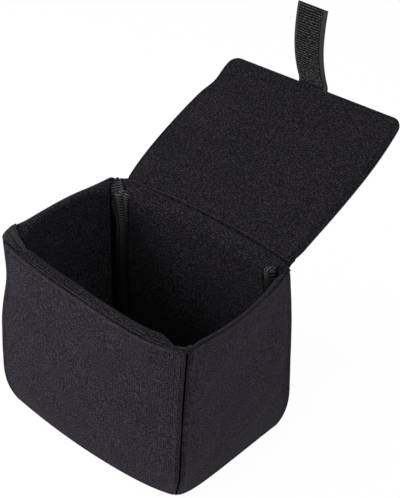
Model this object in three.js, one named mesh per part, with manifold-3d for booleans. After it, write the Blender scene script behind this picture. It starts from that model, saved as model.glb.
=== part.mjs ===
// Padded insert box for a bag: four foam walls and a base covered in knit fabric,
// a padded lid sewn to the back wall's top seam, and a hook strap on the lid's free edge.
// Millimetres, +Z up. The origin is the middle of the underside and the front wall faces -Y.
import * as THREE from "three";
import { mergeVertices } from "three/addons/utils/BufferGeometryUtils.js";
import Module from "manifold-3d";

const wasm = await Module();
wasm.setup();

// Box: outside sizes between the corner seams
const BOX_WIDTH = 140;
const BOX_DEPTH = 98;
const BOX_HEIGHT = 116;

// Layers of a padded panel
const FABRIC = 1;
const WALL_FOAM = 5.4;
const LID_FOAM = 3.4;
const GAP = 0.3;
const LAYER = FABRIC + GAP;
const WALL = WALL_FOAM + 2 * LAYER;
const LID = LID_FOAM + 2 * LAYER;
const RIM = WALL / 2;

// How far each wall's middle stands out of the line between its corners
const FRONT_BULGE = 6;
const RIGHT_BULGE = 1.2;
const BACK_BULGE = 1.5;
const LEFT_BULGE = 6.5;
const BACK_CROWN = 2.5;

// At the rim the front wall is fuller towards its right end, and that corner leans out of square
const FRONT_SKEW = 1;
const SKEW_MEAN = 0.6;
const SKEW_SLOPE = 0.45;
const SKEW_CORNER = 4;
const CORNER_LEAN = 5;

// The walls draw in to the foot, and their corners draw in to the rim
const FOOT_DRAW = 5.4;
const FOOT_RISE = 35;
const RIM_DRAW = 3;
const RIM_DROP = 76;

// Corner gussets: folded ribbed knit between the linings
const GUSSET_SPAN = 4.6;
const GUSSET_FOLD = 2.2;
const CORNER_REACH = WALL + GUSSET_SPAN;

// Facets along a wall and over its rim
const WALL_STEPS = 14;
const RIM_STEPS = 6;

// Lid, open as it stands
const LID_LENGTH = 113;
const LID_ROOT_WIDTH = 127;
const LID_MID_WIDTH = 133.5;
const LID_END_WIDTH = 127;
const LID_CORNER = 6;
const LID_OPEN = THREE.MathUtils.degToRad(23.2);
const LID_CURL = THREE.MathUtils.degToRad(8.5);
const LID_CURL_LENGTH = 45;
const ROOT_BEVEL = 1;

// Hinge strip from the back wall to the lid
const HINGE_LAP = 12;
const HINGE_WEB = 3;
const HINGE_LIFT = 0.6;
const HINGE_Z = BOX_HEIGHT + BACK_CROWN + HINGE_LIFT;
const BACK_BOW = BACK_BULGE + RIM_DRAW;
const BACK_RIM = BOX_DEPTH / 2 - RIM_DRAW;
const HINGE_Y = BACK_RIM + 0.55 * BACK_BOW + GAP + FABRIC / 2;

// Hook strap
const STRAP_WIDTH = 22;
const STRAP_LENGTH = 56;
const STRAP_SHIFT = -4;
const STRAP_TAPE = 0.9;
const HOOK_PILE = 0.9;
const SELVEDGE = 2.2;
const HOOK_WIDTH = STRAP_WIDTH - 2 * SELVEDGE;
const HOOK_START = LID / 2 + LAYER;
const HOOK_FACE = -STRAP_TAPE - GAP - HOOK_PILE;
const STRAP_RISE = THREE.MathUtils.degToRad(78.3);
const STRAP_BEND = THREE.MathUtils.degToRad(29);

const shellKnit = new THREE.MeshStandardMaterial({ color: 0x302e33, roughness: 0.92, metalness: 0 });
const liningKnit = new THREE.MeshStandardMaterial({ color: 0x262427, roughness: 0.92, metalness: 0 });
const ribKnit = new THREE.MeshStandardMaterial({ color: 0x2b292d, roughness: 0.9, metalness: 0 });
const foam = new THREE.MeshStandardMaterial({ color: 0x3c3c40, roughness: 0.95, metalness: 0 });
const hookTape = new THREE.MeshStandardMaterial({ color: 0x2d2d2f, roughness: 0.7, metalness: 0 });

const walls = {
  front: wall([1, 0], [0, -1], BOX_WIDTH, BOX_DEPTH, FRONT_BULGE, 0, FRONT_SKEW),
  right: wall([0, 1], [1, 0], BOX_DEPTH, BOX_WIDTH, RIGHT_BULGE, 0, 0),
  back: wall([-1, 0], [0, 1], BOX_WIDTH, BOX_DEPTH, BACK_BULGE, BACK_CROWN, 0),
  left: wall([0, -1], [-1, 0], BOX_DEPTH, BOX_WIDTH, LEFT_BULGE, 0, 0),
};

function wall(along, out, length, across, bulge, crown, skew) {
  return {
    along: new THREE.Vector2(...along),
    out: new THREE.Vector2(...out),
    half: length / 2,
    reach: across / 2,
    bulge,
    crown,
    skew,
  };
}

function footDraw(z) {
  return FOOT_DRAW * Math.max(0, 1 - z / FOOT_RISE) ** 3;
}

function rimDraw(z) {
  return RIM_DRAW * Math.max(0, 1 - (BOX_HEIGHT - z) / RIM_DROP) ** 2;
}

// Half of a wall's length at a depth inside its outer face, up to the mitre at the corner
function halfAt(side, depth, z) {
  return side.half - footDraw(z) - rimDraw(z) - depth;
}

// How full a wall's bow is between its corners, from 0 to 1
function swellAt(side, share, z) {
  const even = 1 - share * share;
  const fuller = (SKEW_MEAN + SKEW_SLOPE * share) * (1 - share ** SKEW_CORNER);
  return even + (fuller - even) * side.skew * (z / BOX_HEIGHT) ** 2;
}

// How far the front right corner's lean carries a place to the right
function leanAt(x, y, z) {
  const wide = Math.max(0, 0.5 + x / BOX_WIDTH);
  const near = Math.max(0, 0.5 - y / BOX_DEPTH);
  return CORNER_LEAN * (z / BOX_HEIGHT) * wide ** 2 * near ** 2;
}

// A point of a wall: share runs from -1 to 1 between the mitres, depth goes in from the outer face
function wallPoint(side, share, depth, z) {
  const swell = swellAt(side, share, z);
  const stand = side.reach - footDraw(z) - rimDraw(z) + (side.bulge + rimDraw(z)) * swell - depth;
  const spot = side.along.clone().multiplyScalar(share * halfAt(side, depth, z));
  spot.addScaledVector(side.out, stand);
  spot.x += leanAt(spot.x, spot.y, z);
  return new THREE.Vector3(spot.x, spot.y, z + side.crown * swell * (z / BOX_HEIGHT) ** 2);
}

// Steps from one value to another
function steps(from, to, count) {
  return Array.from({ length: count + 1 }, (_, i) => from + ((to - from) * i) / count);
}

// Heights up a wall, closer together where it draws in to the foot
function heights(from, to) {
  const levels = [...steps(LAYER, FOOT_RISE, 5), ...steps(FOOT_RISE, BOX_HEIGHT, 3).slice(1, -1)];
  return [from, ...levels.filter((z) => z > from + GAP && z < to - GAP), to];
}

// A closed solid that carries a profile through stations; place gives each point in space.
// A profile runs along one face of its layer and back along the other, so its ends close in strips.
function sweep(profile, stations, place) {
  const count = profile.length;
  const points = stations.flatMap((at) => profile.map((spot) => place(spot, at)));
  const index = [];
  for (let i = 0; i + 1 < stations.length; i += 1) {
    for (let j = 0; j < count; j += 1) {
      const a = i * count + j;
      const b = i * count + ((j + 1) % count);
      index.push(a, b, b + count, a, b + count, a + count);
    }
  }
  const last = (stations.length - 1) * count;
  for (let a = 0, d = count - 1; a + 1 < d; a += 1, d -= 1) {
    const caps = a + 2 < d ? [[a, a + 1, d - 1], [a, d - 1, d]] : [[a, a + 1, d]];
    for (const [i, j, k] of caps) {
      index.push(i, k, j, last + i, last + j, last + k);
    }
  }
  const geometry = new THREE.BufferGeometry().setFromPoints(points);
  geometry.setIndex(volume(points, index) > 0 ? index : index.reverse());
  return geometry;
}

// Six times the signed volume inside a list of triangles
function volume(points, index) {
  let total = 0;
  for (let i = 0; i < index.length; i += 3) {
    const [a, b, c] = [points[index[i]], points[index[i + 1]], points[index[i + 2]]];
    total += a.dot(b.clone().cross(c));
  }
  return total;
}

function toManifold(geometry) {
  const bare = new THREE.BufferGeometry();
  bare.setAttribute("position", geometry.attributes.position);
  bare.setIndex(geometry.index);
  const merged = mergeVertices(bare, 1e-5);
  return new wasm.Manifold(
    new wasm.Mesh({
      numProp: 3,
      vertProperties: new Float32Array(merged.attributes.position.array),
      triVerts: new Uint32Array(merged.index.array),
    }),
  );
}

function fromManifold(solid) {
  const mesh = solid.getMesh();
  const geometry = new THREE.BufferGeometry();
  geometry.setAttribute("position", new THREE.BufferAttribute(new Float32Array(mesh.vertProperties), 3));
  geometry.setIndex(Array.from(mesh.triVerts));
  return geometry;
}

function piece(name, geometry, material) {
  geometry.computeVertexNormals();
  const mesh = new THREE.Mesh(geometry, material);
  mesh.name = name;
  return mesh;
}

// Points of an arc over the rim, from the outer face to the inner one
function rimArc(radius, count) {
  return steps(Math.PI, 0, count).map(
    (turn) => new THREE.Vector2(RIM + radius * Math.cos(turn), BOX_HEIGHT - RIM + radius * Math.sin(turn)),
  );
}

// Outer fabric of a wall, from the base up to the seam under the rim
function wallCover(side) {
  const levels = heights(LAYER, BOX_HEIGHT - RIM - GAP);
  const profile = [
    ...levels.map((z) => new THREE.Vector2(0, z)),
    ...levels.reverse().map((z) => new THREE.Vector2(FABRIC, z)),
  ];
  return sweep(profile, steps(-1, 1, WALL_STEPS), (spot, at) => {
    const end = 1 - GAP / halfAt(side, spot.x, spot.y);
    return wallPoint(side, at * end, spot.x, spot.y);
  });
}

// Foam board of a wall, rounded over at the rim and mitred at the corners
function wallFoam(side) {
  const levels = heights(LAYER, BOX_HEIGHT - RIM - LAYER);
  const profile = [
    ...levels.map((z) => new THREE.Vector2(LAYER, z)),
    ...rimArc(WALL_FOAM / 2, RIM_STEPS),
    ...levels.reverse().map((z) => new THREE.Vector2(WALL - LAYER, z)),
  ];
  return sweep(profile, steps(-1, 1, WALL_STEPS), (spot, at) => {
    const end = 1 - GAP / halfAt(side, spot.x, spot.y);
    return wallPoint(side, at * end, spot.x, spot.y);
  });
}

// Outline of the lining: over the rim from the outer seam, then down the inner face
function liningProfile(foot) {
  const levels = heights(foot, BOX_HEIGHT - RIM - LAYER);
  return [
    ...rimArc(RIM, RIM_STEPS),
    ...[...levels].reverse().map((z) => new THREE.Vector2(WALL, z)),
    ...levels.map((z) => new THREE.Vector2(WALL - FABRIC, z)),
    ...rimArc(RIM - FABRIC, RIM_STEPS).reverse(),
  ];
}

function wallLining(side) {
  return sweep(liningProfile(LAYER), steps(-1, 1, WALL_STEPS), (spot, at) => {
    const end = halfAt(side, CORNER_REACH, spot.y) / halfAt(side, spot.x, spot.y);
    return wallPoint(side, at * end, spot.x, spot.y);
  });
}

// Corner gusset: one fold from the end of a wall's lining to the mitre, and one on to the next lining
function cornerGusset(first, second) {
  return sweep(liningProfile(WALL + GAP), steps(-1, 1, 8), (spot, at) => {
    const side = at <= 0 ? first : second;
    const inside = Math.min(1, (BOX_HEIGHT - RIM - spot.y) / CORNER_REACH);
    const fold = spot.x > WALL - GAP ? GUSSET_FOLD * Math.max(0, inside) : 0;
    const depth = spot.x + fold * Math.sin(Math.PI * Math.abs(at));
    const half = halfAt(side, depth, spot.y);
    const end = (halfAt(side, CORNER_REACH, spot.y) + GAP) / half;
    const share = 1 + (end - 1) * Math.abs(at);
    return wallPoint(side, at <= 0 ? share : -share, depth, spot.y);
  });
}

// A flat panel of the base inside the walls, between two heights
function basePanel(depth, from, to) {
  const rings = [from, to].map((z) =>
    Object.values(walls).flatMap((side) =>
      steps(-1, 1, WALL_STEPS)
        .slice(0, -1)
        .map((share) => wallPoint({ ...side, crown: 0 }, share, depth, z)),
    ),
  );
  const outline = rings[0].map((spot) => new THREE.Vector2(spot.x, spot.y));
  return sweep(outline, rings, (spot, ring) => ring[outline.indexOf(spot)]);
}

// Strip that carries the lid: it laps the back wall, stands to the hinge line and turns into the lid
function hingeStrip() {
  const side = walls.back;
  const end = LID_ROOT_WIDTH / 2 / halfAt(side, 0, BOX_HEIGHT) - GAP / 10;
  const path = new THREE.Vector2(Math.cos(LID_OPEN), Math.sin(LID_OPEN)).multiplyScalar(HINGE_WEB);
  const turn = FABRIC * Math.tan((Math.PI / 2 - LID_OPEN) / 2);
  const inner = [
    new THREE.Vector2(0, BOX_HEIGHT - HINGE_LAP - HINGE_Z),
    new THREE.Vector2(0, 0),
    path,
  ];
  const normal = new THREE.Vector2(Math.sin(LID_OPEN), -Math.cos(LID_OPEN)).multiplyScalar(FABRIC);
  const outer = [
    path.clone().add(normal),
    new THREE.Vector2(FABRIC, -turn),
    new THREE.Vector2(FABRIC, BOX_HEIGHT - HINGE_LAP - HINGE_Z),
  ];
  return sweep([...inner, ...outer], steps(-end, end, 8), (spot, at) => {
    const z = Math.min(BOX_HEIGHT, HINGE_Z + spot.y);
    const face = wallPoint(side, at, -GAP, z);
    return new THREE.Vector3(face.x, face.y + spot.x, HINGE_Z + spot.y);
  });
}

// Where the lid begins beyond the hinge line, following the back wall's bow
function lidRoot(x) {
  const share = x / halfAt(walls.back, 0, BOX_HEIGHT);
  return BACK_RIM + BACK_BOW * (1 - share * share) + GAP + FABRIC + HINGE_WEB - HINGE_Y;
}

// Half of the lid's width at a distance from the hinge line, with rounded free corners
function lidHalf(reach) {
  const share = reach / LID_LENGTH;
  const straight = LID_ROOT_WIDTH + (LID_END_WIDTH - LID_ROOT_WIDTH) * share;
  const belly = (LID_MID_WIDTH - (LID_ROOT_WIDTH + LID_END_WIDTH) / 2) * 4 * share * (1 - share);
  const past = Math.max(0, reach - (LID_LENGTH - LID_CORNER));
  return (straight + belly) / 2 - LID_CORNER + Math.sqrt(Math.max(0, LID_CORNER ** 2 - past ** 2));
}

// A point of the lid in its own frame: reach from the hinge line, depth below the inner face
function lidPoint(x, reach, depth) {
  const straight = LID_LENGTH - LID_CURL_LENGTH;
  const radius = LID_CURL_LENGTH / LID_CURL;
  if (reach <= straight) {
    return new THREE.Vector3(x, reach, -depth);
  }
  const turn = (reach - straight) / radius;
  return new THREE.Vector3(
    x,
    straight + (radius + depth) * Math.sin(turn),
    radius - (radius + depth) * Math.cos(turn),
  );
}

// A layer of the lid: set in from its edges, between two depths, thinned to the bevelled root
function lidLayer(inset, start, from, to) {
  const across = steps(-1, 1, 8);
  const profile = [
    ...across.map((share) => new THREE.Vector2(share, 0)),
    ...across.reverse().map((share) => new THREE.Vector2(share, 1)),
  ];
  const curl = LID_LENGTH - LID_CURL_LENGTH;
  const corner = steps(0, Math.PI / 2, 4).map((turn) => LID_LENGTH - LID_CORNER * (1 - Math.sin(turn)));
  const stations = [
    (root) => root + start,
    (root) => root + (LID - LAYER) / ROOT_BEVEL,
    () => curl / 2,
    () => curl,
    () => curl + LID_CURL_LENGTH / 2,
    ...corner.map((reach) => () => reach - inset),
  ];
  return sweep(profile, stations, (spot, at) => {
    const x = spot.x * (lidHalf(at(lidRoot(0)) + inset) - inset);
    const root = lidRoot(x);
    const reach = at(root);
    const bevel = Math.max(FABRIC, LAYER + ROOT_BEVEL * (reach - root) - (LID - to));
    return lidPoint(x, reach, spot.y === 0 ? from : Math.min(to, bevel));
  });
}

function lidCover() {
  const whole = toManifold(lidLayer(0, 0, 0, LID));
  const hollow = toManifold(lidLayer(FABRIC, FABRIC, -FABRIC, LID - FABRIC));
  return fromManifold(whole.subtract(hollow));
}

// A layer of the strap: an arc from the lid's edge, between two depths behind its back face
function strapLayer(width, start, stop, from, to) {
  const radius = STRAP_LENGTH / STRAP_BEND;
  const profile = [
    new THREE.Vector2(-width / 2, from),
    new THREE.Vector2(width / 2, from),
    new THREE.Vector2(width / 2, to),
    new THREE.Vector2(-width / 2, to),
  ];
  return sweep(profile, steps(start, STRAP_LENGTH - stop, 10), (spot, at) => {
    const turn = at / radius;
    return new THREE.Vector3(
      spot.x,
      (radius - spot.y) * Math.sin(turn),
      (radius - spot.y) * Math.cos(turn) - radius,
    );
  });
}

const box = new THREE.Group();
box.name = "padded_insert";

for (const [name, side] of Object.entries(walls)) {
  box.add(
    piece(`${name}_outer_cover`, wallCover(side), shellKnit),
    piece(`${name}_foam_board`, wallFoam(side), foam),
    piece(`${name}_lining`, wallLining(side), liningKnit),
  );
}
box.add(
  piece("base_outer_cover", basePanel(0, 0, FABRIC), shellKnit),
  piece("base_foam_board", basePanel(WALL + GAP, LAYER, WALL - LAYER), foam),
  piece("base_lining", basePanel(WALL + GAP, WALL - FABRIC, WALL), liningKnit),
  piece("front_right_gusset", cornerGusset(walls.front, walls.right), ribKnit),
  piece("back_right_gusset", cornerGusset(walls.right, walls.back), ribKnit),
  piece("back_left_gusset", cornerGusset(walls.back, walls.left), ribKnit),
  piece("front_left_gusset", cornerGusset(walls.left, walls.front), ribKnit),
  piece("lid_hinge_strip", hingeStrip(), shellKnit),
);

const foamStart = LAYER + GAP / ROOT_BEVEL;
const lid = new THREE.Group();
lid.position.set(0, HINGE_Y, HINGE_Z);
lid.rotation.x = LID_OPEN;
lid.add(
  piece("lid_outer_cover", lidCover(), shellKnit),
  piece("lid_foam_board", lidLayer(LAYER, foamStart, LAYER, LID - LAYER), foam),
  piece("lid_lining", lidLayer(LAYER, LAYER, 0, FABRIC), liningKnit),
);
box.add(lid);

const strap = new THREE.Group();
strap.position.copy(lidPoint(STRAP_SHIFT, LID_LENGTH + GAP + STRAP_TAPE, LID / 2));
strap.rotation.x = LID_CURL + STRAP_RISE;
strap.add(
  piece("strap_tape", strapLayer(STRAP_WIDTH, 0, 0, -STRAP_TAPE, 0), hookTape),
  piece("hook_field", strapLayer(HOOK_WIDTH, HOOK_START, SELVEDGE, HOOK_FACE, HOOK_FACE + HOOK_PILE), hookTape),
);
lid.add(strap);

export default box;
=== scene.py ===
"""Dresses the padded insert box: knit covers on foam walls, ribbed corners, a flap lid and a hook strap.

Sizes are millimetres in the classes and metres in the meshes, +Z up, with the front wall facing -Y.
"""

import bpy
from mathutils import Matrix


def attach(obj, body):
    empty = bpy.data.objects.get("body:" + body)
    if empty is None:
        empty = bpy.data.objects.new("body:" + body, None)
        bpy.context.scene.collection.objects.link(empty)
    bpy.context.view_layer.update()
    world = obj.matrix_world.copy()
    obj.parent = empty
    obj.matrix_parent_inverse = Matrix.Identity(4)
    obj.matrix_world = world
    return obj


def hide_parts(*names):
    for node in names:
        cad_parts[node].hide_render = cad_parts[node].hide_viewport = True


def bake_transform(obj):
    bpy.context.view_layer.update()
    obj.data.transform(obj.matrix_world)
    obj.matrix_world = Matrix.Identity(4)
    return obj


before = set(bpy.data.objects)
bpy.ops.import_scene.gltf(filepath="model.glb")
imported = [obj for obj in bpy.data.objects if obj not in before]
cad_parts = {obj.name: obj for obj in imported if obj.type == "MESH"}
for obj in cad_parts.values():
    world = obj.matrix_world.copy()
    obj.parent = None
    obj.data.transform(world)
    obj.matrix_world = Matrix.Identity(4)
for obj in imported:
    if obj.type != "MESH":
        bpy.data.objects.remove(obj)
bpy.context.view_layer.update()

import logging
import math
from dataclasses import dataclass
from enum import Enum
from typing import Any, Optional, Sequence

import bmesh
import bpy
import numpy as np
from mathutils import Matrix, Vector

Array = np.ndarray
Colour = tuple[float, float, float]
MM = 0.001
UV_SPAN = 100.0  # millimetres of cloth in one unit of the UV map
ROLL_STEPS = 10  # points round a cover's rolled edge
COVER_ROWS = 94  # rows up a cover's face
BASE_STEPS = 61  # points along each side of a base cloth
LINING_ENDS = (0, 0.3, 0.7, 1.2, 1.8, 2.6, 3.6, 5.0)
LID_ENDS = (0, 0.2, 0.5, 0.9, 1.3, 1.7, 2.0, 2.3, 2.6, 2.9, 3.3, 3.9, 4.8)
WAVE_WAYS = ((1.0, 0.6, 0.8), (-0.7, 1.1, 0.45), (0.35, -0.5, 1.25), (1.3, 0.9, -0.6))
log = logging.getLogger("padded_insert")


class Side(Enum):
    """The four walls, in turn round the box."""

    FRONT = "front"
    RIGHT = "right"
    BACK = "back"
    LEFT = "left"

    @property
    def next(self) -> "Side":
        """The wall round the corner at this wall's far end."""
        order = list(Side)
        return order[(order.index(self) + 1) % len(order)]

    @property
    def previous(self) -> "Side":
        """The wall round the corner at this wall's near end."""
        order = list(Side)
        return order[order.index(self) - 1]


class Rim(Enum):
    """The ways the inner cloth leaves the rim."""

    BAND = "a flat band over the wall's top"
    EDGE = "a thin edge that falls steeply inside"
    SLOPE = "a slope back to the hinge"
    WEB = "a web that sinks into the corner"


class Body(Enum):
    """The parts that move against each other."""

    BOX = "box"
    LID = "lid"
    STRAP = "strap"


# Node trees


class Link:
    """A node's output socket, with the arithmetic that adds Math nodes to its tree."""

    def __init__(self, tree: "Tree", socket: bpy.types.NodeSocket) -> None:
        """Keeps the socket and the tree it belongs to."""
        self.tree = tree
        self.socket = socket

    def _math(self, operation: str, *terms: Any) -> "Link":
        """Adds one Math node.

        Args:
            operation: the Math node's operation.
            terms: its inputs in order, as links or numbers.

        Returns:
            The node's output.
        """
        return self.tree.take("ShaderNodeMath", {"operation": operation}, dict(enumerate(terms)))

    def __add__(self, other: Any) -> "Link":
        """self + other."""
        return self._math("ADD", self, other)

    __radd__ = __add__

    def __sub__(self, other: Any) -> "Link":
        """self - other."""
        return self._math("SUBTRACT", self, other)

    def __rsub__(self, other: Any) -> "Link":
        """other - self."""
        return self._math("SUBTRACT", other, self)

    def __mul__(self, other: Any) -> "Link":
        """self * other."""
        return self._math("MULTIPLY", self, other)

    __rmul__ = __mul__

    def __truediv__(self, other: Any) -> "Link":
        """self / other."""
        return self._math("DIVIDE", self, other)

    def __abs__(self) -> "Link":
        """The size of self."""
        return self._math("ABSOLUTE", self)

    def fraction(self) -> "Link":
        """The part of self after the point."""
        return self._math("FRACT", self)

    def wave(self) -> "Link":
        """A wave from 0 to 1 that repeats each time self grows by 1."""
        return self._math("COSINE", self * math.tau) * 0.5 + 0.5

    def between(self, low: float, high: float) -> "Link":
        """self as a share of the way from low to high, held to 0 and 1."""
        return self.tree.take(
            "ShaderNodeMapRange", {"clamp": True}, {"Value": self, "From Min": low, "From Max": high}
        )


class Tree:
    """Adds nodes to a shader or geometry tree."""

    def __init__(self, tree: bpy.types.NodeTree) -> None:
        """Starts from an empty tree."""
        self.tree = tree
        tree.nodes.clear()

    def node(
        self, kind: str, settings: Optional[dict[str, Any]] = None, values: Optional[dict[Any, Any]] = None
    ) -> bpy.types.Node:
        """Adds a node of any kind.

        Args:
            kind: the node's type name.
            settings: its own settings, set first.
            values: a link or a value for each of its sockets, by name or number.

        Returns:
            The new node.
        """
        node = self.tree.nodes.new(kind)
        for name, value in (settings or {}).items():
            setattr(node, name, value)
        for key, value in (values or {}).items():
            if isinstance(value, Link):
                self.tree.links.new(value.socket, node.inputs[key])
            else:
                node.inputs[key].default_value = value
        return node

    def take(
        self,
        kind: str,
        settings: Optional[dict[str, Any]] = None,
        values: Optional[dict[Any, Any]] = None,
        output: Any = 0,
    ) -> Link:
        """Adds a node and returns one of its outputs.

        Args:
            kind: the node's type name.
            settings: its own settings.
            values: a link or a value for each of its sockets.
            output: the name or number of the output wanted.

        Returns:
            The output as a link.
        """
        return Link(self, self.node(kind, settings, values).outputs[output])

    def blend(self, share: Any, first: Any, second: Any) -> Link:
        """Mixes two colours.

        Args:
            share: how much of the second, as a link or a number.
            first: a link or a colour with alpha.
            second: a link or a colour with alpha.

        Returns:
            The mixed colour.
        """
        return self.take("ShaderNodeMix", {"data_type": "RGBA"}, {0: share, 6: first, 7: second}, 2)

    def noise(self, spot: Link, size: float, detail: float = 2.0, rough: float = 0.5) -> Link:
        """Soft noise from 0 to 1.

        Args:
            spot: the place it is read at, in metres.
            size: the width of one blotch in millimetres.
            detail: octaves.
            rough: how strong the finer octaves are.

        Returns:
            The noise value.
        """
        values = {"Vector": spot, "Scale": 1 / (size * MM), "Detail": detail, "Roughness": rough}
        return self.take("ShaderNodeTexNoise", {}, values)


def with_alpha(colour: Colour) -> tuple[float, float, float, float]:
    """The colour with full opacity."""
    return (*colour, 1.0)


# Finishes


class Surface(Tree):
    """A new material's tree, with what every finish shares."""

    def __init__(self, name: str) -> None:
        """Starts the material with its Object coordinates."""
        self.material = bpy.data.materials.new(name)
        self.material.use_nodes = True
        super().__init__(self.material.node_tree)
        self.spot = self.take("ShaderNodeTexCoord", {}, {}, "Object")

    def lay(self) -> tuple[Link, Link]:
        """The place on the piece's UV map, across and along it in millimetres."""
        flat = self.take("ShaderNodeUVMap", {"uv_map": "cloth"})
        flat = self.take("ShaderNodeMapping", {}, {"Vector": flat, "Scale": (UV_SPAN, UV_SPAN, 1.0)})
        parts = self.node("ShaderNodeSeparateXYZ", {}, {0: flat})
        return Link(self, parts.outputs[0]), Link(self, parts.outputs[1])

    def tone(self, share: Link, first: Any, second: Any) -> Link:
        """Mixes two colours by a share that is held to 0 and 1."""
        return self.blend(share.between(0.0, 1.0), first, second)

    def finish(
        self, colour: Link, rough: Link, relief: tuple[float, float, Link], looks: dict[str, Any]
    ) -> bpy.types.Material:
        """Ends the tree in a Principled shader.

        Args:
            colour: the base colour.
            rough: the roughness.
            relief: the bump's strength, its depth in millimetres and its height.
            looks: the shader's other values.

        Returns:
            The material.
        """
        strength, depth, height = relief
        values = {"Strength": strength, "Distance": depth * MM, "Height": height}
        bump = self.take("ShaderNodeBump", {}, values, "Normal")
        values = {"Base Color": colour, "Roughness": rough, "Normal": bump, **looks}
        shader = self.take("ShaderNodeBsdfPrincipled", {}, values)
        self.node("ShaderNodeOutputMaterial", {}, {"Surface": shader})
        return self.material


@dataclass(frozen=True)
class KnitFinish:
    """Brushed knit cloth: columns of looped stitches, a sandy mix of dark and paler yarn, and soft fuzz."""

    name: str
    dark: Colour
    pale: Colour
    wale: float = 1.25
    course: float = 0.95
    relief: float = 0.22
    grain: float = 0.95
    fuzz: float = 0.9
    cloud: float = 38.0
    wander: float = 9.0
    flecks: float = 0.7
    # how much the stitch relief darkens the gaps between the loops, which is painted shade
    columns: float = 0.5
    sheen: float = 0.03
    sheen_tint: Colour = (0.55, 0.53, 0.58)
    slant: float = 0.55
    rows: float = 0.45
    fleck_low: float = 0.45
    fleck_high: float = 0.63

    def material(self) -> bpy.types.Material:
        """Builds the cloth's material on the piece's UV map."""
        tree = Surface(self.name)
        across, along = tree.lay()
        wander = (tree.noise(tree.spot, self.wander) - 0.5) * 0.5
        column = across / self.wale + wander
        edge = abs(column.fraction() - 0.5) * 2
        loops = (along / self.course - edge * self.slant).wave()
        yarn = (1 - edge * edge) * (loops * self.rows + 1 - self.rows)
        fuzz = tree.noise(tree.spot, self.fuzz, 3.0, 0.65)
        sand = tree.noise(tree.spot, self.grain, 1.0, 0.5).between(self.fleck_low, self.fleck_high)
        cloud = tree.noise(tree.spot, self.cloud, 3.0)
        # The stitch relief darkens the tone in the gaps between the loops, which is painted shade; the sandy
        # flecks and the slow cloudy tone are the yarn's own.
        share = (sand * self.flecks + yarn * self.columns - 0.16) * (cloud * 0.5 + 0.75)
        looks = {
            "Specular IOR Level": 0.08,
            "Sheen Weight": self.sheen,
            "Sheen Roughness": 0.55,
            "Sheen Tint": with_alpha(self.sheen_tint),
        }
        colour = tree.tone(share, with_alpha(self.dark), with_alpha(self.pale))
        return tree.finish(colour, 0.97 - yarn * 0.12, (0.75, self.relief, yarn * 0.7 + fuzz * 0.5), looks)


@dataclass(frozen=True)
class RibPattern:
    """Ribs that slant away on both sides of a line along the strip."""

    pitch: float = 1.35
    height: float = 0.4

    def count(self, along: Array, aside: Array, slant: float) -> Array:
        """How many ribs lie before a place on the strip.

        Args:
            along: the place along the strip, in millimetres.
            aside: its distance from the line where the ribs meet.
            slant: how far a rib runs along the strip for each millimetre aside.

        Returns:
            The number of ribs, with its fraction.
        """
        return (along - slant * aside) / (self.pitch * math.hypot(1.0, slant))


@dataclass(frozen=True)
class RibFinish:
    """Stretch rib knit: pale ribs with dark valleys, read from the strip's own count of ribs; the dark
    valleys are painted shade, in step with the raised ribs.
    """

    name: str
    dark: Colour
    pale: Colour
    grain: float = 0.7
    relief: float = 0.2

    def material(self) -> bpy.types.Material:
        """Builds the rib knit's material on the piece's own count of ribs."""
        tree = Surface(self.name)
        # The tone follows the raised ribs: pale on each rib, with painted shade in the valleys between them.
        ribs = tree.take("ShaderNodeAttribute", {"attribute_name": "rib"}, {}, "Fac").wave()
        grain = tree.noise(tree.spot, self.grain, 1.0)
        # Painted shade: the ribs fade to the dark colour where the strip's painted light share is low.
        painted_lit = tree.take("ShaderNodeAttribute", {"attribute_name": "painted_light"}, {}, "Fac")
        share = ribs.between(0.25, 0.85) * (grain.between(0.35, 0.7) * 0.6 + 0.4) * painted_lit
        colour = tree.tone(share, with_alpha(self.dark), with_alpha(self.pale))
        looks = {"Specular IOR Level": 0.12, "Sheen Weight": 0.04}
        return tree.finish(colour, 0.95 - ribs * 0.1, (0.6, self.relief, grain), looks)


@dataclass(frozen=True)
class WebbingFinish:
    """Narrow woven tape: a dark ground with fine cross ribs between paler plain edges."""

    name: str
    dark: Colour
    pale: Colour
    edge: Colour
    field: float = 8.4
    field_shift: float = -0.7
    edge_soft: float = 0.5
    rib: float = 0.75
    warp: float = 0.8
    fuzz: float = 1.1
    relief: float = 0.12

    def material(self) -> bpy.types.Material:
        """Builds the tape's material on its UV map, which runs along its length."""
        tree = Surface(self.name)
        aside, along = tree.lay()
        weave = (along / self.rib).wave() * ((aside / self.warp).wave() * 0.5 + 0.5)
        fuzz = tree.noise(tree.spot, self.fuzz, 3.0, 0.6)
        share = weave * 0.5 + fuzz * 0.6 - 0.15
        colour = tree.tone(share, with_alpha(self.dark), with_alpha(self.pale))
        plain = abs(aside - self.field_shift).between(self.field, self.field + self.edge_soft)
        colour = tree.tone(plain * (fuzz * 0.7 + 0.5), colour, with_alpha(self.edge))
        looks = {"Specular IOR Level": 0.08, "Sheen Weight": 0.02}
        return tree.finish(colour, 0.8 - weave * 0.15, (0.7, self.relief, weave), looks)


@dataclass(frozen=True)
class YarnFinish:
    """Plain spun thread or moulded filament, a little uneven in tone."""

    name: str
    dark: Colour
    pale: Colour
    rough: float = 0.8
    shine: float = 0.3
    blotch: float = 2.6
    twist: float = 0.4
    relief: float = 0.08

    def material(self) -> bpy.types.Material:
        """Builds the thread's material on Object coordinates."""
        tree = Surface(self.name)
        tone = tree.noise(tree.spot, self.blotch, 2.0).between(0.3, 0.7)
        twist = tree.noise(tree.spot, self.twist, 1.0)
        colour = tree.blend(tone, with_alpha(self.dark), with_alpha(self.pale))
        looks = {"Specular IOR Level": self.shine}
        return tree.finish(colour, self.rough - twist * 0.15, (0.4, self.relief, twist), looks)


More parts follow.
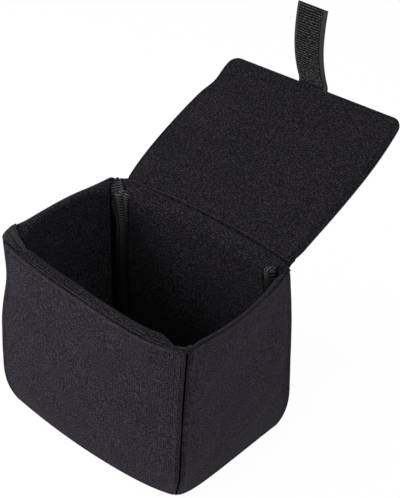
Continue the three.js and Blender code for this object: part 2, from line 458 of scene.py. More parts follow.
class Cloths:
    """Every finish of the insert, built once."""

    def __init__(self) -> None:
        """Builds the materials."""
        self.shell = KnitFinish(
            "shell_knit", (0.0037, 0.0031, 0.0045), (0.0455, 0.0405, 0.0505), grain=0.85, fleck_low=0.46
        ).material()
        self.lining = KnitFinish(
            "lining_knit",
            (0.0018, 0.0015, 0.002),
            (0.042, 0.0375, 0.0445),
            wale=1.1,
            course=1.45,
            grain=0.9,
            flecks=0.62,
            columns=0.42,
            slant=0.25,
            rows=0.85,
            fleck_low=0.48,
        ).material()
        self.pattern = RibPattern()
        self.rib = RibFinish("rib_knit", (0.0022, 0.002, 0.0024), (0.135, 0.128, 0.138)).material()
        self.tape = WebbingFinish(
            "strap_webbing", (0.0025, 0.0025, 0.0027), (0.012, 0.012, 0.0124), (0.042, 0.042, 0.043)
        ).material()
        self.hooks = YarnFinish(
            "hook_pile", (0.004, 0.004, 0.0042), (0.19, 0.19, 0.193), rough=0.6, shine=0.15, blotch=1.3
        ).material()
        self.thread = YarnFinish("seam_thread", (0.016, 0.0155, 0.017), (0.07, 0.068, 0.072)).material()


# Mesh making


def mesh_object(
    name: str, points: Array, faces: Sequence[Sequence[int]], edges: Sequence[tuple[int, int]] = ()
) -> bpy.types.Object:
    """Makes a mesh object at the origin.

    Args:
        name: the object's name.
        points: n x 3 places in millimetres.
        faces: point numbers of each face.
        edges: point numbers of loose edges.

    Returns:
        The object, linked into the scene and shaded smooth.
    """
    mesh = bpy.data.meshes.new(name)
    whole = [list(map(int, face)) for face in faces]
    mesh.from_pydata((np.asarray(points) * MM).tolist(), list(edges), whole)
    mesh.polygons.foreach_set("use_smooth", [True] * len(mesh.polygons))
    obj = bpy.data.objects.new(name, mesh)
    bpy.context.scene.collection.objects.link(obj)
    return obj


def grid_object(name: str, points: Array, across: Array, along: Array) -> bpy.types.Object:
    """Makes a cloth mesh from rows of points, with its UV map in cloth lengths.

    Args:
        name: the object's name.
        points: rows x columns x 3, in millimetres; columns x rows faces outwards.
        across: rows x columns, the cloth length along the columns.
        along: rows x columns, the cloth length along the rows.

    Returns:
        The mesh object.
    """
    rows, columns, _ = points.shape
    index = np.arange(rows * columns).reshape(rows, columns)
    quads = np.stack([index[:-1, :-1], index[:-1, 1:], index[1:, 1:], index[1:, :-1]], axis=-1)
    quads = quads.reshape(-1, 4)
    obj = mesh_object(name, points.reshape(-1, 3), quads)
    lay = np.stack([across, along], axis=-1).reshape(-1, 2) / UV_SPAN
    obj.data.uv_layers.new(name="cloth").data.foreach_set("uv", lay[quads.ravel()].ravel())
    return obj


def tube_object(name: str, rings: Array, across: Array, along: Array) -> bpy.types.Object:
    """Makes a closed mesh from rings of points, capped at both ends, with its UV map in cloth lengths.

    Args:
        name: the object's name.
        rings: rings x points of a ring x 3, in millimetres.
        across: rings x points of a ring, one cloth length.
        along: rings x points of a ring, the other cloth length.

    Returns:
        The mesh object, with its faces turned outwards.
    """
    rows, count, _ = rings.shape
    index = np.arange(rows * count).reshape(rows, count)
    around = np.roll(index, -1, axis=1)
    quads = np.stack([index[:-1], index[1:], around[1:], around[:-1]], axis=-1).reshape(-1, 4).tolist()
    quads += [index[0].tolist(), index[-1, ::-1].tolist()]
    obj = mesh_object(name, rings.reshape(-1, 3), quads)
    lay = np.stack(np.broadcast_arrays(across, along), axis=-1).reshape(-1, 2) / UV_SPAN
    corners = np.zeros(len(obj.data.loops), np.int32)
    obj.data.loops.foreach_get("vertex_index", corners)
    obj.data.uv_layers.new(name="cloth").data.foreach_set("uv", lay[corners].ravel())
    turn_outwards(obj)
    return obj


def turn_outwards(obj: bpy.types.Object) -> None:
    """Makes a closed mesh's faces point outwards."""
    shape = bmesh.new()
    shape.from_mesh(obj.data)
    bmesh.ops.recalc_face_normals(shape, faces=shape.faces)
    shape.to_mesh(obj.data)
    shape.free()


def cloth_lengths(points: Array) -> tuple[Array, Array]:
    """Measures cloth lengths over a grid of points from its middle column and row.

    Args:
        points: rows x columns x 3.

    Returns:
        Lengths along the columns and along the rows, each rows x columns.
    """
    rows, columns, _ = points.shape
    step = np.linalg.norm(np.diff(points[rows // 2], axis=0), axis=-1)
    across = np.append(0.0, np.cumsum(step))
    step = np.linalg.norm(np.diff(points[:, columns // 2], axis=0), axis=-1)
    along = np.append(0.0, np.cumsum(step))
    across = across - across[columns // 2]
    return np.broadcast_to(across, (rows, columns)), np.broadcast_to(along[:, None], (rows, columns))


def near_ends(fine: Sequence[float], length: float, pitch: float) -> Array:
    """Shares from -1 to 1 with close steps at both ends.

    Args:
        fine: distances from the end that get a step, in millimetres.
        length: half the length that the shares stand for.
        pitch: the step in between.

    Returns:
        The shares in order.
    """
    ends = np.sort(1 - np.array(fine) / length)
    count = max(3, int(round(2 * length * ends[0] / pitch)))
    return np.concatenate([-ends[:0:-1], np.linspace(-ends[0], ends[0], count), ends[1:]])


@dataclass(frozen=True)
class Waves:
    """A slow, irregular unevenness for hand-filled cloth."""

    size: float
    height: float
    turn: float = 0.0

    def at(self, points: Array, more: float = 0.0) -> Array:
        """The unevenness at some places.

        Args:
            points: places in millimetres, with the last axis x, y, z.
            more: added to turn, to make a piece's waves its own.

        Returns:
            A height for each place.
        """
        x, y, z = points[..., 0], points[..., 1], points[..., 2]
        turn = self.turn + more
        total = np.zeros(x.shape)
        for step, (a, b, c) in enumerate(WAVE_WAYS):
            total += np.sin(math.tau / self.size * (a * x + b * y + c * z) + turn * (1.7 + step) + step * 2.1)
        return total * self.height / len(WAVE_WAYS)


@dataclass(frozen=True)
class PressureFill:
    """Cloth held at its seams while the fill behind it presses outwards."""

    pressure: float = 3.0
    frames: int = 20
    step: int = 4
    cap: float = 1.2

    def spread(self, count: int, picked: Array) -> Array:
        """Weights that carry values from the picked lines of a grid to all of them, smoothly."""
        spots = np.arange(count)
        line = np.stack([np.interp(spots, picked, row) for row in np.eye(len(picked))], axis=1)
        near = np.exp(-(((spots[:, None] - spots[None, :]) / (self.step * 0.6)) ** 2))
        return (near / near.sum(axis=1, keepdims=True)) @ line

    def swell(self, points: Array, held: Array) -> Array:
        """Lets a grid of cloth swell.

        Args:
            points: rows x columns x 3, in millimetres.
            held: rows x columns, true where a seam holds the cloth.

        Returns:
            The grid after the fill has pressed it out.
        """
        rows, columns, _ = points.shape
        picked_rows = np.unique(np.append(np.arange(0, rows, self.step), rows - 1))
        picked_columns = np.unique(np.append(np.arange(0, columns, self.step), columns - 1))
        few = points[np.ix_(picked_rows, picked_columns)]
        pins = held[np.ix_(picked_rows, picked_columns)].ravel()
        flat = np.zeros(few.shape[:2])
        trial = grid_object("cloth_trial", few, flat, flat)
        trial.vertex_groups.new(name="seam").add(np.flatnonzero(pins).tolist(), 1.0, "REPLACE")
        cloth = trial.modifiers.new("fill", "CLOTH")
        cloth.settings.quality = 8
        cloth.settings.mass = 0.2
        cloth.settings.tension_stiffness = 12
        cloth.settings.compression_stiffness = 12
        cloth.settings.shear_stiffness = 6
        cloth.settings.bending_stiffness = 0.6
        cloth.settings.use_pressure = True
        cloth.settings.uniform_pressure_force = self.pressure
        cloth.settings.vertex_group_mass = "seam"
        cloth.settings.effector_weights.gravity = 0
        cloth.collision_settings.use_collision = False
        cloth.point_cache.frame_start, cloth.point_cache.frame_end = 1, self.frames
        scene = bpy.context.scene
        for number in range(1, self.frames + 1):
            scene.frame_set(number)
        done = trial.evaluated_get(bpy.context.evaluated_depsgraph_get()).data
        places = np.zeros(len(done.vertices) * 3, np.float32)
        done.vertices.foreach_get("co", places)
        move = places.reshape(few.shape).astype(float) / MM - few
        size = np.linalg.norm(move, axis=-1, keepdims=True)
        move *= np.minimum(1.0, self.cap / np.maximum(size, 1e-6))
        scene.frame_set(1)
        bpy.data.objects.remove(trial)
        log.info("  fill moved the cloth up to %.2f mm", float(size.max()))
        by_row, by_column = self.spread(rows, picked_rows), self.spread(columns, picked_columns)
        return points + np.einsum("Rr,rck,Cc->RCk", by_row, move, by_column)


def give_thickness(obj: bpy.types.Object, thickness: float) -> None:
    """Gives a cloth face its thickness, on the side away from view."""
    wall = obj.modifiers.new("cloth_thickness", "SOLIDIFY")
    wall.thickness, wall.offset = thickness * MM, -1.0


def settle(
    obj: bpy.types.Object,
    material: bpy.types.Material,
    body: Body,
    nodes: Sequence[str] = (),
) -> None:
    """Dresses a finished piece, parents it to its body and hides the CAD nodes it stands for.

    Args:
        obj: the piece.
        material: its finish.
        body: the body it rides on.
        nodes: the CAD nodes it stands for.
    """
    if not obj.data.materials:
        obj.data.materials.append(material)
    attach(obj, body.value)
    if nodes:
        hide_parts(*nodes)
    log.info("%s: %d faces on %s", obj.name, len(obj.data.polygons), body.value)


def settle_across(
    obj: bpy.types.Object, node: str
) -> None:
    """Fixes a dressed piece that spans two bodies where it lies: hides the CAD node it stands for and bakes
    its place into its mesh.

    Args:
        obj: the piece, with its material.
        node: the CAD node it stands for.
    """
    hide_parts(node)
    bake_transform(obj)


# Geometry Nodes


class NodeMaker:
    """A Geometry Nodes tree that turns a guide mesh into finished detail."""

    def __init__(self, name: str, sizes: dict[str, float]) -> None:
        """Starts the tree.

        Args:
            name: the tree's name.
            sizes: its named inputs with their values, in metres or plain numbers.
        """
        self.group = bpy.data.node_groups.new(name, "GeometryNodeTree")
        self.sizes = sizes
        face = self.group.interface
        face.new_socket("Geometry", in_out="INPUT", socket_type="NodeSocketGeometry")
        self.keys = {
            label: face.new_socket(label, in_out="INPUT", socket_type="NodeSocketFloat").identifier
            for label in sizes
        }
        face.new_socket("Geometry", in_out="OUTPUT", socket_type="NodeSocketGeometry")
        self.tree = Tree(self.group)
        start = self.tree.node("NodeGroupInput")
        self.guide = Link(self.tree, start.outputs["Geometry"])
        self.inputs = {label: Link(self.tree, start.outputs[label]) for label in sizes}

    def close(self, shape: Link, material: bpy.types.Material) -> None:
        """Ends the tree in real geometry with its material."""
        real = self.tree.take("GeometryNodeRealizeInstances", {}, {"Geometry": shape})
        dressed = self.tree.take("GeometryNodeSetMaterial", {}, {"Geometry": real, "Material": material})
        self.tree.node("NodeGroupOutput", {}, {"Geometry": dressed})

    def grow(self, guide: bpy.types.Object) -> bpy.types.Object:
        """Runs the tree on a guide and leaves its result as a plain mesh.

        Args:
            guide: the object with the guide mesh.

        Returns:
            The same object with the finished mesh.
        """
        maker = guide.modifiers.new(self.group.name, "NODES")
        maker.node_group = self.group
        for label, key in self.keys.items():
            maker[key] = self.sizes[label]
        whole = guide.evaluated_get(bpy.context.evaluated_depsgraph_get())
        mesh = bpy.data.meshes.new_from_object(whole)
        guide.modifiers.clear()
        guide.data = mesh
        mesh.polygons.foreach_set("use_smooth", [True] * len(mesh.polygons))
        return guide


class StitchMaker(NodeMaker):
    """A row of sewn stitches along each guide line."""

    def __init__(self, material: bpy.types.Material, pitch: float, length: float, width: float) -> None:
        """Builds the tree.

        Args:
            material: the thread.
            pitch: from one stitch to the next.
            length: one stitch.
            width: the thread.
        """
        super().__init__("seam_stitches", {"Pitch": pitch * MM, "Length": length * MM, "Width": width * MM})
        tree, sizes = self.tree, self.inputs
        thread = sizes["Width"]
        line = tree.take("GeometryNodeMeshToCurve", {}, {"Mesh": self.guide})
        mode = {"mode": "LENGTH"}
        points = tree.take("GeometryNodeResampleCurve", mode, {"Curve": line, "Length": sizes["Pitch"]})
        bead = tree.take("GeometryNodeMeshUVSphere", {}, {"Segments": 6, "Rings": 5, "Radius": 0.5})
        shape = tree.take("ShaderNodeCombineXYZ", {}, {0: thread, 1: thread, 2: sizes["Length"]})
        heading = tree.take("GeometryNodeInputTangent")
        turn = tree.take("FunctionNodeAlignRotationToVector", {"axis": "Z"}, {"Vector": heading})
        values = {"Points": points, "Instance": bead, "Rotation": turn, "Scale": shape}
        self.close(tree.take("GeometryNodeInstanceOnPoints", {}, values), material)


class HookMaker(NodeMaker):
    """Small bent hooks standing on each point of a guide sheet, in rows across it."""

    def __init__(self, material: bpy.types.Material, height: float, reach: float, width: float) -> None:
        """Builds the tree.

        Args:
            material: the filament.
            height: of one hook.
            reach: from its foot to the tip's side.
            width: the filament.
        """
        lengths = {"Height": height * MM, "Reach": reach * MM, "Width": width * MM}
        super().__init__("hook_rows", {**lengths, "Seed": 7.0})
        tree, sizes = self.tree, self.inputs
        top = tree.take("ShaderNodeCombineXYZ", {}, {0: sizes["Reach"] * 0.1, 2: sizes["Height"] * 1.45})
        tip = tree.take("ShaderNodeCombineXYZ", {}, {0: sizes["Reach"], 2: sizes["Height"] * 0.55})
        values = {"Resolution": 5, "Start": (0, 0, 0), "Middle": top, "End": tip}
        bow = tree.take("GeometryNodeCurveQuadraticBezier", {}, values)
        values = {"Resolution": 4, "Radius": sizes["Width"] * 0.5}
        ring = tree.take("GeometryNodeCurvePrimitiveCircle", {"mode": "RADIUS"}, values)
        values = {"Curve": bow, "Profile Curve": ring, "Fill Caps": True}
        hook = tree.take("GeometryNodeCurveToMesh", {}, values)
        out = tree.take("GeometryNodeInputNormal")
        upright = tree.take("FunctionNodeAlignRotationToVector", {"axis": "Z"}, {"Vector": out})
        values = {0: (1, -0.6, -0.6), 1: (1, 0.6, 0.6), "Seed": sizes["Seed"]}
        lean = tree.take("FunctionNodeRandomValue", {"data_type": "FLOAT_VECTOR"}, values)
        values = {"Rotation": upright, "Vector": lean}
        turn = tree.take("FunctionNodeAlignRotationToVector", {"axis": "X", "pivot_axis": "Z"}, values)
        values = {"Points": self.guide, "Instance": hook, "Rotation": turn}
        self.close(tree.take("GeometryNodeInstanceOnPoints", {}, values), material)


class RibMaker(NodeMaker):
    """Ribs raised on a strip of knit by the strip's own count of ribs."""

    def __init__(self, material: bpy.types.Material, pattern: RibPattern) -> None:
        """Builds the tree.

        Args:
            material: the ribbed knit.
            pattern: how high its ribs stand.
        """
        super().__init__("knit_ribs", {"Height": pattern.height * MM})
        tree, sizes = self.tree, self.inputs
        lay = {"data_type": "FLOAT"}
        ribs = tree.take("GeometryNodeInputNamedAttribute", lay, {"Name": "rib"})
        free = tree.take("GeometryNodeInputNamedAttribute", lay, {"Name": "free"})
        rise = ribs.wave() * sizes["Height"] * free
        out = tree.take("GeometryNodeInputNormal")
        shift = tree.take("ShaderNodeVectorMath", {"operation": "SCALE"}, {0: out, "Scale": rise})
        raised = tree.take("GeometryNodeSetPosition", {}, {"Geometry": self.guide, "Offset": shift})
        self.close(raised, material)


def guide_lines(name: str, lines: Sequence[Array]) -> bpy.types.Object:
    """Makes one mesh of open lines for stitches to follow.

    Args:
        name: the object's name.
        lines: n x 3 places of each line, in millimetres.

    Returns:
        The guide object.
    """
    points, edges, first = np.concatenate(lines), [], 0
    for line in lines:
        edges += [(first + step, first + step + 1) for step in range(len(line) - 1)]
        first += len(line)
    return mesh_object(name, points, [], edges)


# The box


@dataclass(frozen=True)
class WallLine:
    """One wall's place in plan, and how its rim and foot differ from a straight wall."""

    along: tuple[float, float]
    out: tuple[float, float]
    half: float
    reach: float
    bulge: float
    crown: float = 0.0
    skew: float = 0.0
    full: float = 0.0
    bow: float = 0.0
    sag: float = 0.0
    gap: float = 0.0
    waist_end: int = 0
    rim: Rim = Rim.BAND


@dataclass(frozen=True)
class CornerKnit:
    """How one ribbed corner strip lies between the ends of the two linings beside it, and how far below the
    rim its painted light reaches.
    """

    tops: tuple[float, float] = (0.0, 0.0)
    reaches: tuple[float, float] = (14.0, 14.0)
    fall: float = 9.1
    droops: tuple[float, float] = (1.0, 1.0)
    folds: tuple[tuple[float, float, float], ...] = ((-6.0, 0.0, 2.2), (0.0, 6.0, 2.2))
    drift: float = 0.0
    ridge: float = 0.0
    slant: float = 1.2
    spread: float = 0.0
    # depth below the rim, in millimetres, over which the knit's painted light fades into painted shade
    lit_depth: float = 11.0


@dataclass
class PaddedBox:
    """Four padded walls and a base: outer covers, linings rolled over the rim and ribbed corner gussets."""

    cloths: Cloths
    width: float = 140.0
    depth: float = 98.0
    height: float = 116.0
    wall: float = 8.0
    bulges: tuple[float, float, float, float] = (6.0, 1.2, 1.5, 6.5)
    back_crown: float = 2.5
    left_crown: float = 2.2
    front_crown: float = -1.9
    right_crown: float = -3.2
    right_bow: float = 1.6
    front_sag: float = 2.5
    left_sag: float = 2.0
    front_skew: float = 1.0
    skew_mean: float = 0.6
    skew_slope: float = 0.45
    corner_lean: float = 5.0
    left_fullness: float = 0.6
    corner_plump: float = 2.2
    corner_lifts: tuple[float, float, float, float] = (2.0, 1.4, 0.4, -1.4)
    corner_peaks: tuple[float, float, float, float] = (0.0, 5.0, 0.0, 0.0)
    corner_shifts: tuple[tuple[float, float], ...] = ((0.0, 0.0), (0.0, 0.6), (0.0, 0.0), (2.0, 0.0))
    left_flare: float = 3.2
    flare_place: float = 0.86
    flare_length: float = 0.1
    right_foot: float = 2.0
    back_foot: float = 2.0
    foot_reach: float = 75.0
    foot_draw: float = 5.4
    foot_rise: float = 35.0
    rim_draw: float = 3.0
    rim_drop: float = 76.0
    edge_roll: float = 1.6
    seam_gap: float = 0.4
    foot_roll: float = 2.6
    seam_roll: float = 0.6
    seam_drop: float = 0.5
    band_flat: float = 3.0
    band_start: float = 1.3
    band_gap: float = 0.7
    band_rise: float = 4.6
    mitre: float = 0.5
    droop_length: float = 11.0
    edge_fall: float = 16.0
    web_curve: float = 0.3
    cloth: float = 0.8
    waist: float = 0.5
    corner_waist: float = 1.5
    waist_drop: float = 25.0
    waist_length: float = 19.0
    shoulder: float = 10.5
    tuck: float = 1.5
    pinch: float = 1.8
    pinch_length: float = 1.1
    gusset_round: float = 4.6
    drift_length: float = 25.0
    cover_pitch: float = 1.3
    slack: float = 0.5
    calm_edge: float = 4.0
    calm_foot: float = 25.0
    calm_rim: float = 18.0
    cover_waves: tuple[Waves, Waves] = (Waves(58.0, 0.75), Waves(23.0, 0.3, 2.0))
    lining_waves: Waves = Waves(46.0, 0.5, 5.0)
    floor_waves: Waves = Waves(50.0, 0.35, 3.0)
    floor_roll: float = 2.6
    foot_depths: tuple[float, float] = (7.0, 4.6)
    foot_heights: tuple[float, float] = (0.7, 0.3)
    ground: float = 0.1
    hem_depths: tuple[float, float] = (0.6, 0.1)
    hem_drops: tuple[float, float] = (1.6, 0.8)
    sink_share: float = 0.65
    fold_fade: float = 8.0
    border_power: float = 14.0
    band_turn: float = 172.0
    slope_turn: float = 98.0
    stitch_drop: float = 2.0
    stitch_share: float = 0.97
    stitch_points: int = 161
    gusset_columns: int = 81
    rib_border: float = 0.12
    fold_power: float = 0.7
    trough_stop: float = 0.7
    foot_tuck: tuple[float, float, float] = (-5.9, 2.6, 4.4)
    tuck_power: float = 10.0
    tuck_rise: float = 30.0
    fill: PressureFill = PressureFill()
    lining_fill: PressureFill = PressureFill(1.8, cap=0.9)

    def line(self, side: Side) -> WallLine:
        """The plan of one wall."""
        front, right, back, left = self.bulges
        wide, deep = self.width / 2, self.depth / 2
        return {
            Side.FRONT: WallLine(
                (1, 0), (0, -1), wide, deep, front, self.front_crown, self.front_skew,
                sag=self.front_sag, gap=self.band_gap, waist_end=-1,
            ),
            Side.RIGHT: WallLine(
                (0, 1), (1, 0), deep, wide, right, self.right_crown, bow=self.right_bow, rim=Rim.EDGE,
            ),
            Side.BACK: WallLine((-1, 0), (0, 1), wide, deep, back, self.back_crown, rim=Rim.SLOPE),
            Side.LEFT: WallLine(
                (0, -1), (-1, 0), deep, wide, left, self.left_crown,
                full=self.left_fullness, sag=self.left_sag, waist_end=1,
            ),
        }[side]

    def corner(self, side: Side) -> CornerKnit:
        """The strip in the corner at a wall's far end."""
        return {
            Side.FRONT: CornerKnit(folds=((-6.0, 0.0, 0.6), (0.0, 6.0, 0.6)), lit_depth=3.0),
            Side.RIGHT: CornerKnit(
                reaches=(9.6, 14.8),
                fall=3.0,
                droops=(0.0, 1.0),
                folds=((-1.6, 1.6, -4.5), (1.6, 6.8, 1.0)),
                ridge=20.0,
                slant=1.5,
                lit_depth=8.0,
            ),
            Side.BACK: CornerKnit(
                tops=(5.0, 0.0),
                reaches=(16.0, 11.0),
                fall=4.5,
                droops=(0.0, 1.0),
                folds=((-7.0, -3.3, 2.4), (-3.3, -0.6, 2.0), (-0.6, 3.2, -4.0)),
                drift=4.0,
                ridge=-3.3,
                slant=0.8,
                lit_depth=34.0,
            ),
            Side.LEFT: CornerKnit(tops=(17.0, 0.0), reaches=(14.0, 12.0), slant=8.0, spread=1.0, lit_depth=13.0),
        }[side]

    def drawn(self, z: Array) -> tuple[Array, Array]:
        """How far the foot and the rim are drawn in at a height."""
        foot = self.foot_draw * np.clip(1 - z / self.foot_rise, 0, None) ** 3
        rim = self.rim_draw * np.clip(1 - (self.height - z) / self.rim_drop, 0, None) ** 2
        return foot, rim

    def span(self, side: Side, z: Array) -> Array:
        """Half the wall's width between its corner seams at a height."""
        foot, rim = self.drawn(z)
        return self.line(side).half - foot - rim

    def place(self, side: Side, across: Array, depth: Array, z: Array) -> Array:
        """Places on a wall.

        Args:
            side: the wall.
            across: along the wall from its middle.
            depth: inwards from its outer face.
            z: height before the rim's crown.

        Returns:
            World places, with x, y, z on the last axis.
        """
        across, depth, z = np.broadcast_arrays(across, depth, z)
        line = self.line(side)
        foot, rim = self.drawn(z)
        share = np.clip(across / (line.half - foot - rim - depth), -1, 1)
        even = 1 - share**2
        fuller = (self.skew_mean + self.skew_slope * share) * (1 - share**4)
        level = (z / self.height) ** 2
        swell = even + ((fuller - even) * line.skew + (even - even**2) * line.full) * level
        stand = line.reach - foot - rim + (line.bulge + rim) * swell + line.bow * even * level**2 - depth
        x = line.along[0] * across + line.out[0] * stand
        y = line.along[1] * across + line.out[1] * stand
        return self.shaped(x, y, z, line.crown * even * level)

    def shaped(self, x: Array, y: Array, z: Array, crown: Array) -> Array:
        """Sets the corners' own lean, fullness and height.

        Args:
            x: across the box.
            y: from front to back.
            z: height.
            crown: the rim's rise.

        Returns:
            World places.
        """
        level = z / self.height
        right, front = np.clip(0.5 + x / self.width, 0, None), np.clip(0.5 - y / self.depth, 0, None)
        left, back = np.clip(1 - right, 0, None), np.clip(1 - front, 0, None)
        spot = np.stack([x + self.corner_lean * level * (right * front) ** 2, y, z + crown], axis=-1)
        flare = np.exp(-(((front - self.flare_place) / self.flare_length) ** 2)) * left**6
        spot[..., 0] -= self.left_flare * flare * level**8
        low = np.clip(1 - z / self.foot_reach, 0, 1) ** 1.5
        spot[..., 0] += self.right_foot * low * np.clip(2 * right - 1, 0, 1)
        spot[..., 1] += self.back_foot * low * np.clip(2 * back - 1, 0, 1)
        corners = ((left, -1, front, -1), (left, -1, back, 1), (right, 1, back, 1), (right, 1, front, -1))
        own = zip(corners, self.corner_lifts, self.corner_peaks, self.corner_shifts)
        for (across, way_x, along, way_y), lift, peak, shift in own:
            near = across * along
            spot[..., 0] += (self.corner_plump * way_x + shift[0] * level**6) * near**6
            spot[..., 1] += (self.corner_plump * way_y + shift[1] * level**6) * near**6
            spot[..., 2] += (lift * near**6 + peak * near**16) * level**6
        return self.tucked(spot)

    def tucked(self, spot: Array) -> Array:
        """Draws the foot's front right corner in and up, round as the filled cloth leaves it."""
        right = np.clip(0.5 + spot[..., 0] / self.width, 0, None)
        front = np.clip(0.5 - spot[..., 1] / self.depth, 0, None)
        low = np.clip(1 - spot[..., 2] / self.tuck_rise, 0, 1) ** 2
        share = np.clip(right * front, 0, 1) ** self.tuck_power * low
        return spot + share[..., None] * np.array(self.foot_tuck)

    def cover_rows(self) -> tuple[Array, Array, Array]:
        """The cover's section from its turned-in foot to the rim seam.

        Returns:
            Depth, height, and whether a seam holds each row.
        """
        foot, roll = self.foot_roll, self.seam_roll
        turn = np.radians(np.linspace(-90, -180, 9))
        low_depth = np.concatenate([self.foot_depths, foot + foot * np.cos(turn)])
        low_z = np.concatenate([self.foot_heights, foot + self.ground + foot * np.sin(turn)])
        top = self.height - self.seam_drop - roll
        z = np.linspace(foot + self.ground, top, COVER_ROWS)[1:-1]
        turn = np.radians(np.linspace(180, 25, ROLL_STEPS))
        high_depth, high_z = roll + roll * np.cos(turn), top + roll * np.sin(turn)
        depth = np.concatenate([low_depth, np.zeros(len(z)), high_depth])
        held = np.concatenate([np.ones(len(low_z)), np.zeros(len(z)), np.ones(len(high_z))]) > 0
        return depth, np.concatenate([low_z, z, high_z]), held

    def cover(self, side: Side) -> tuple[bpy.types.Object, Array]:
        """Makes a wall's outer cover, rolled at its corner seams, foot and rim.

        Args:
            side: the wall.

        Returns:
            The cover, and the line of its rim seam.
        """
        row_depth, z, row_held = self.cover_rows()
        turn = np.radians(np.linspace(135, 0, ROLL_STEPS))
        roll, line = self.edge_roll, self.line(side)
        reach = roll * (1 + math.sqrt(2)) + self.seam_gap
        count = int(round(2 * line.half / self.cover_pitch))
        end, flat = np.ones(ROLL_STEPS), np.zeros(count - 2)
        share = np.concatenate([-end, np.linspace(-1, 1, count)[1:-1], end])
        rolled = roll - roll * np.cos(turn)
        step = np.concatenate([-roll * np.sin(turn), flat, roll * np.sin(turn[::-1])])
        dip = np.concatenate([rolled, flat, rolled[::-1]])
        span = self.span(side, z)[:, None]
        waist = np.exp(-(((z - self.height + self.waist_drop) / self.waist_length) ** 2))[:, None]
        drawn = np.clip(share * line.waist_end, 0, 1)
        waist = waist * (self.waist * (1 - share**2) + self.corner_waist * drawn**6)[None, :]
        across = share[None, :] * (span - reach - waist) + step[None, :]
        depth = np.hypot(row_depth[:, None], dip[None, :]) + waist + self.slack
        held = row_held[:, None] | (np.abs(share) > 0.999)[None, :]
        points = self.place(side, across, depth - self.slack * held, z[:, None])
        points[..., 2] -= line.sag * (1 - share**4)[None, :] * (z[:, None] / self.height) ** 8
        points = self.fill.swell(points, held)
        out = np.array([*line.out, 0.0])
        above, below = z[:, None] - self.calm_edge, self.height - self.calm_edge - z[:, None]
        free = np.clip(1 - np.abs(across / span) ** 6, 0, 1) * np.clip(above / self.calm_foot, 0, 1)
        free = free * np.clip(below / self.calm_rim, 0, 1)
        slow, quick = (waves.at(points, len(side.value)) for waves in self.cover_waves)
        points = points + ((slow + quick) * free)[..., None] * out
        obj = grid_object(f"{side.value}_cover", points, *cloth_lengths(points))
        give_thickness(obj, self.cloth)
        seam = points[-ROLL_STEPS, ROLL_STEPS + 3 : -ROLL_STEPS - 3]
        return obj, seam + out * 0.1

    def band_seam(self, side: Side) -> Array:
        """The line of stitches on the rim's band, above its seam."""
        z = np.full(self.stitch_points, self.height - self.stitch_drop)
        share = np.linspace(-self.stitch_share, self.stitch_share, self.stitch_points)
        across = share * (self.span(side, z) - self.wall)
        return self.place(side, across, self.band_start + self.band_gap - 0.1, z)

    def section(self, rim: Rim, fine: float, fall: float = 0.0, gap: float = 0.0) -> tuple[Array, Array]:
        """The inner cloth's section from the rim seam down to the base.

        Args:
            rim: how it leaves the rim.
            fine: the step between rows; each kind of rim has as many.
            fall: how far a web sinks before it lies on the wall.
            gap: how far a band stands behind the cover's rolled edge.

        Returns:
            Depth from the outer face, and height.
        """
        way = np.linspace(0, 1, max(18, int(14 / fine)))
        if rim is Rim.BAND:
            turn = np.radians(self.band_turn * (1 - way))
            power, middle = 2 / self.band_flat, (self.wall + self.band_start + gap) / 2
            lean = np.sign(np.cos(turn)) * np.abs(np.cos(turn)) ** power
            depth = middle + (self.wall - middle) * lean
            z = self.height - self.band_rise + self.band_rise * np.sin(turn) ** power
        elif rim is Rim.SLOPE:
            turn = np.radians(self.slope_turn * (1 - way))
            depth = self.wall * np.cos(turn)
            z = self.height - self.shoulder + (self.shoulder - 0.3) * np.sin(turn)
        else:
            curve, fall = (1.0, self.edge_fall) if rim is Rim.EDGE else (self.web_curve, fall)
            turn = np.radians(90 * way)
            sink = way + (np.sin(turn) - way) * curve
            depth = self.band_start + (self.wall - self.band_start) * sink
            z = self.height - self.seam_drop + 0.2 - fall * (way + (1 - np.cos(turn) - way) * curve)
        roll = self.floor_roll
        face = np.linspace(z[-1], self.wall + roll, int((self.height - 15) / fine))[1:-1]
        turn = np.radians(np.linspace(0, 90, 7))
        low_depth = self.wall + roll - roll * np.cos(turn)
        low_z = self.wall + roll - (roll - 0.2) * np.sin(turn)
        hem = depth[:1] + self.hem_depths
        depth = np.concatenate([hem, depth, np.full(len(face), self.wall), low_depth])
        return depth, np.concatenate([z[:1] - self.hem_drops, z, face, low_z])

    def corner_inset(self, top: float, reach: float, depth: Array) -> Array:
        """How far from the outer corner the lining's end seam runs.

        Args:
            top: the least it is on the rim, where it is mitred otherwise.
            reach: what it is on the inner face.
            depth: from the outer face.

        Returns:
            The distance along the wall.
        """
        down = np.clip((depth - self.band_start) / (self.wall - self.band_start), 0, 1)
        return np.maximum(depth + self.mitre, top) * (1 - down) + reach * down

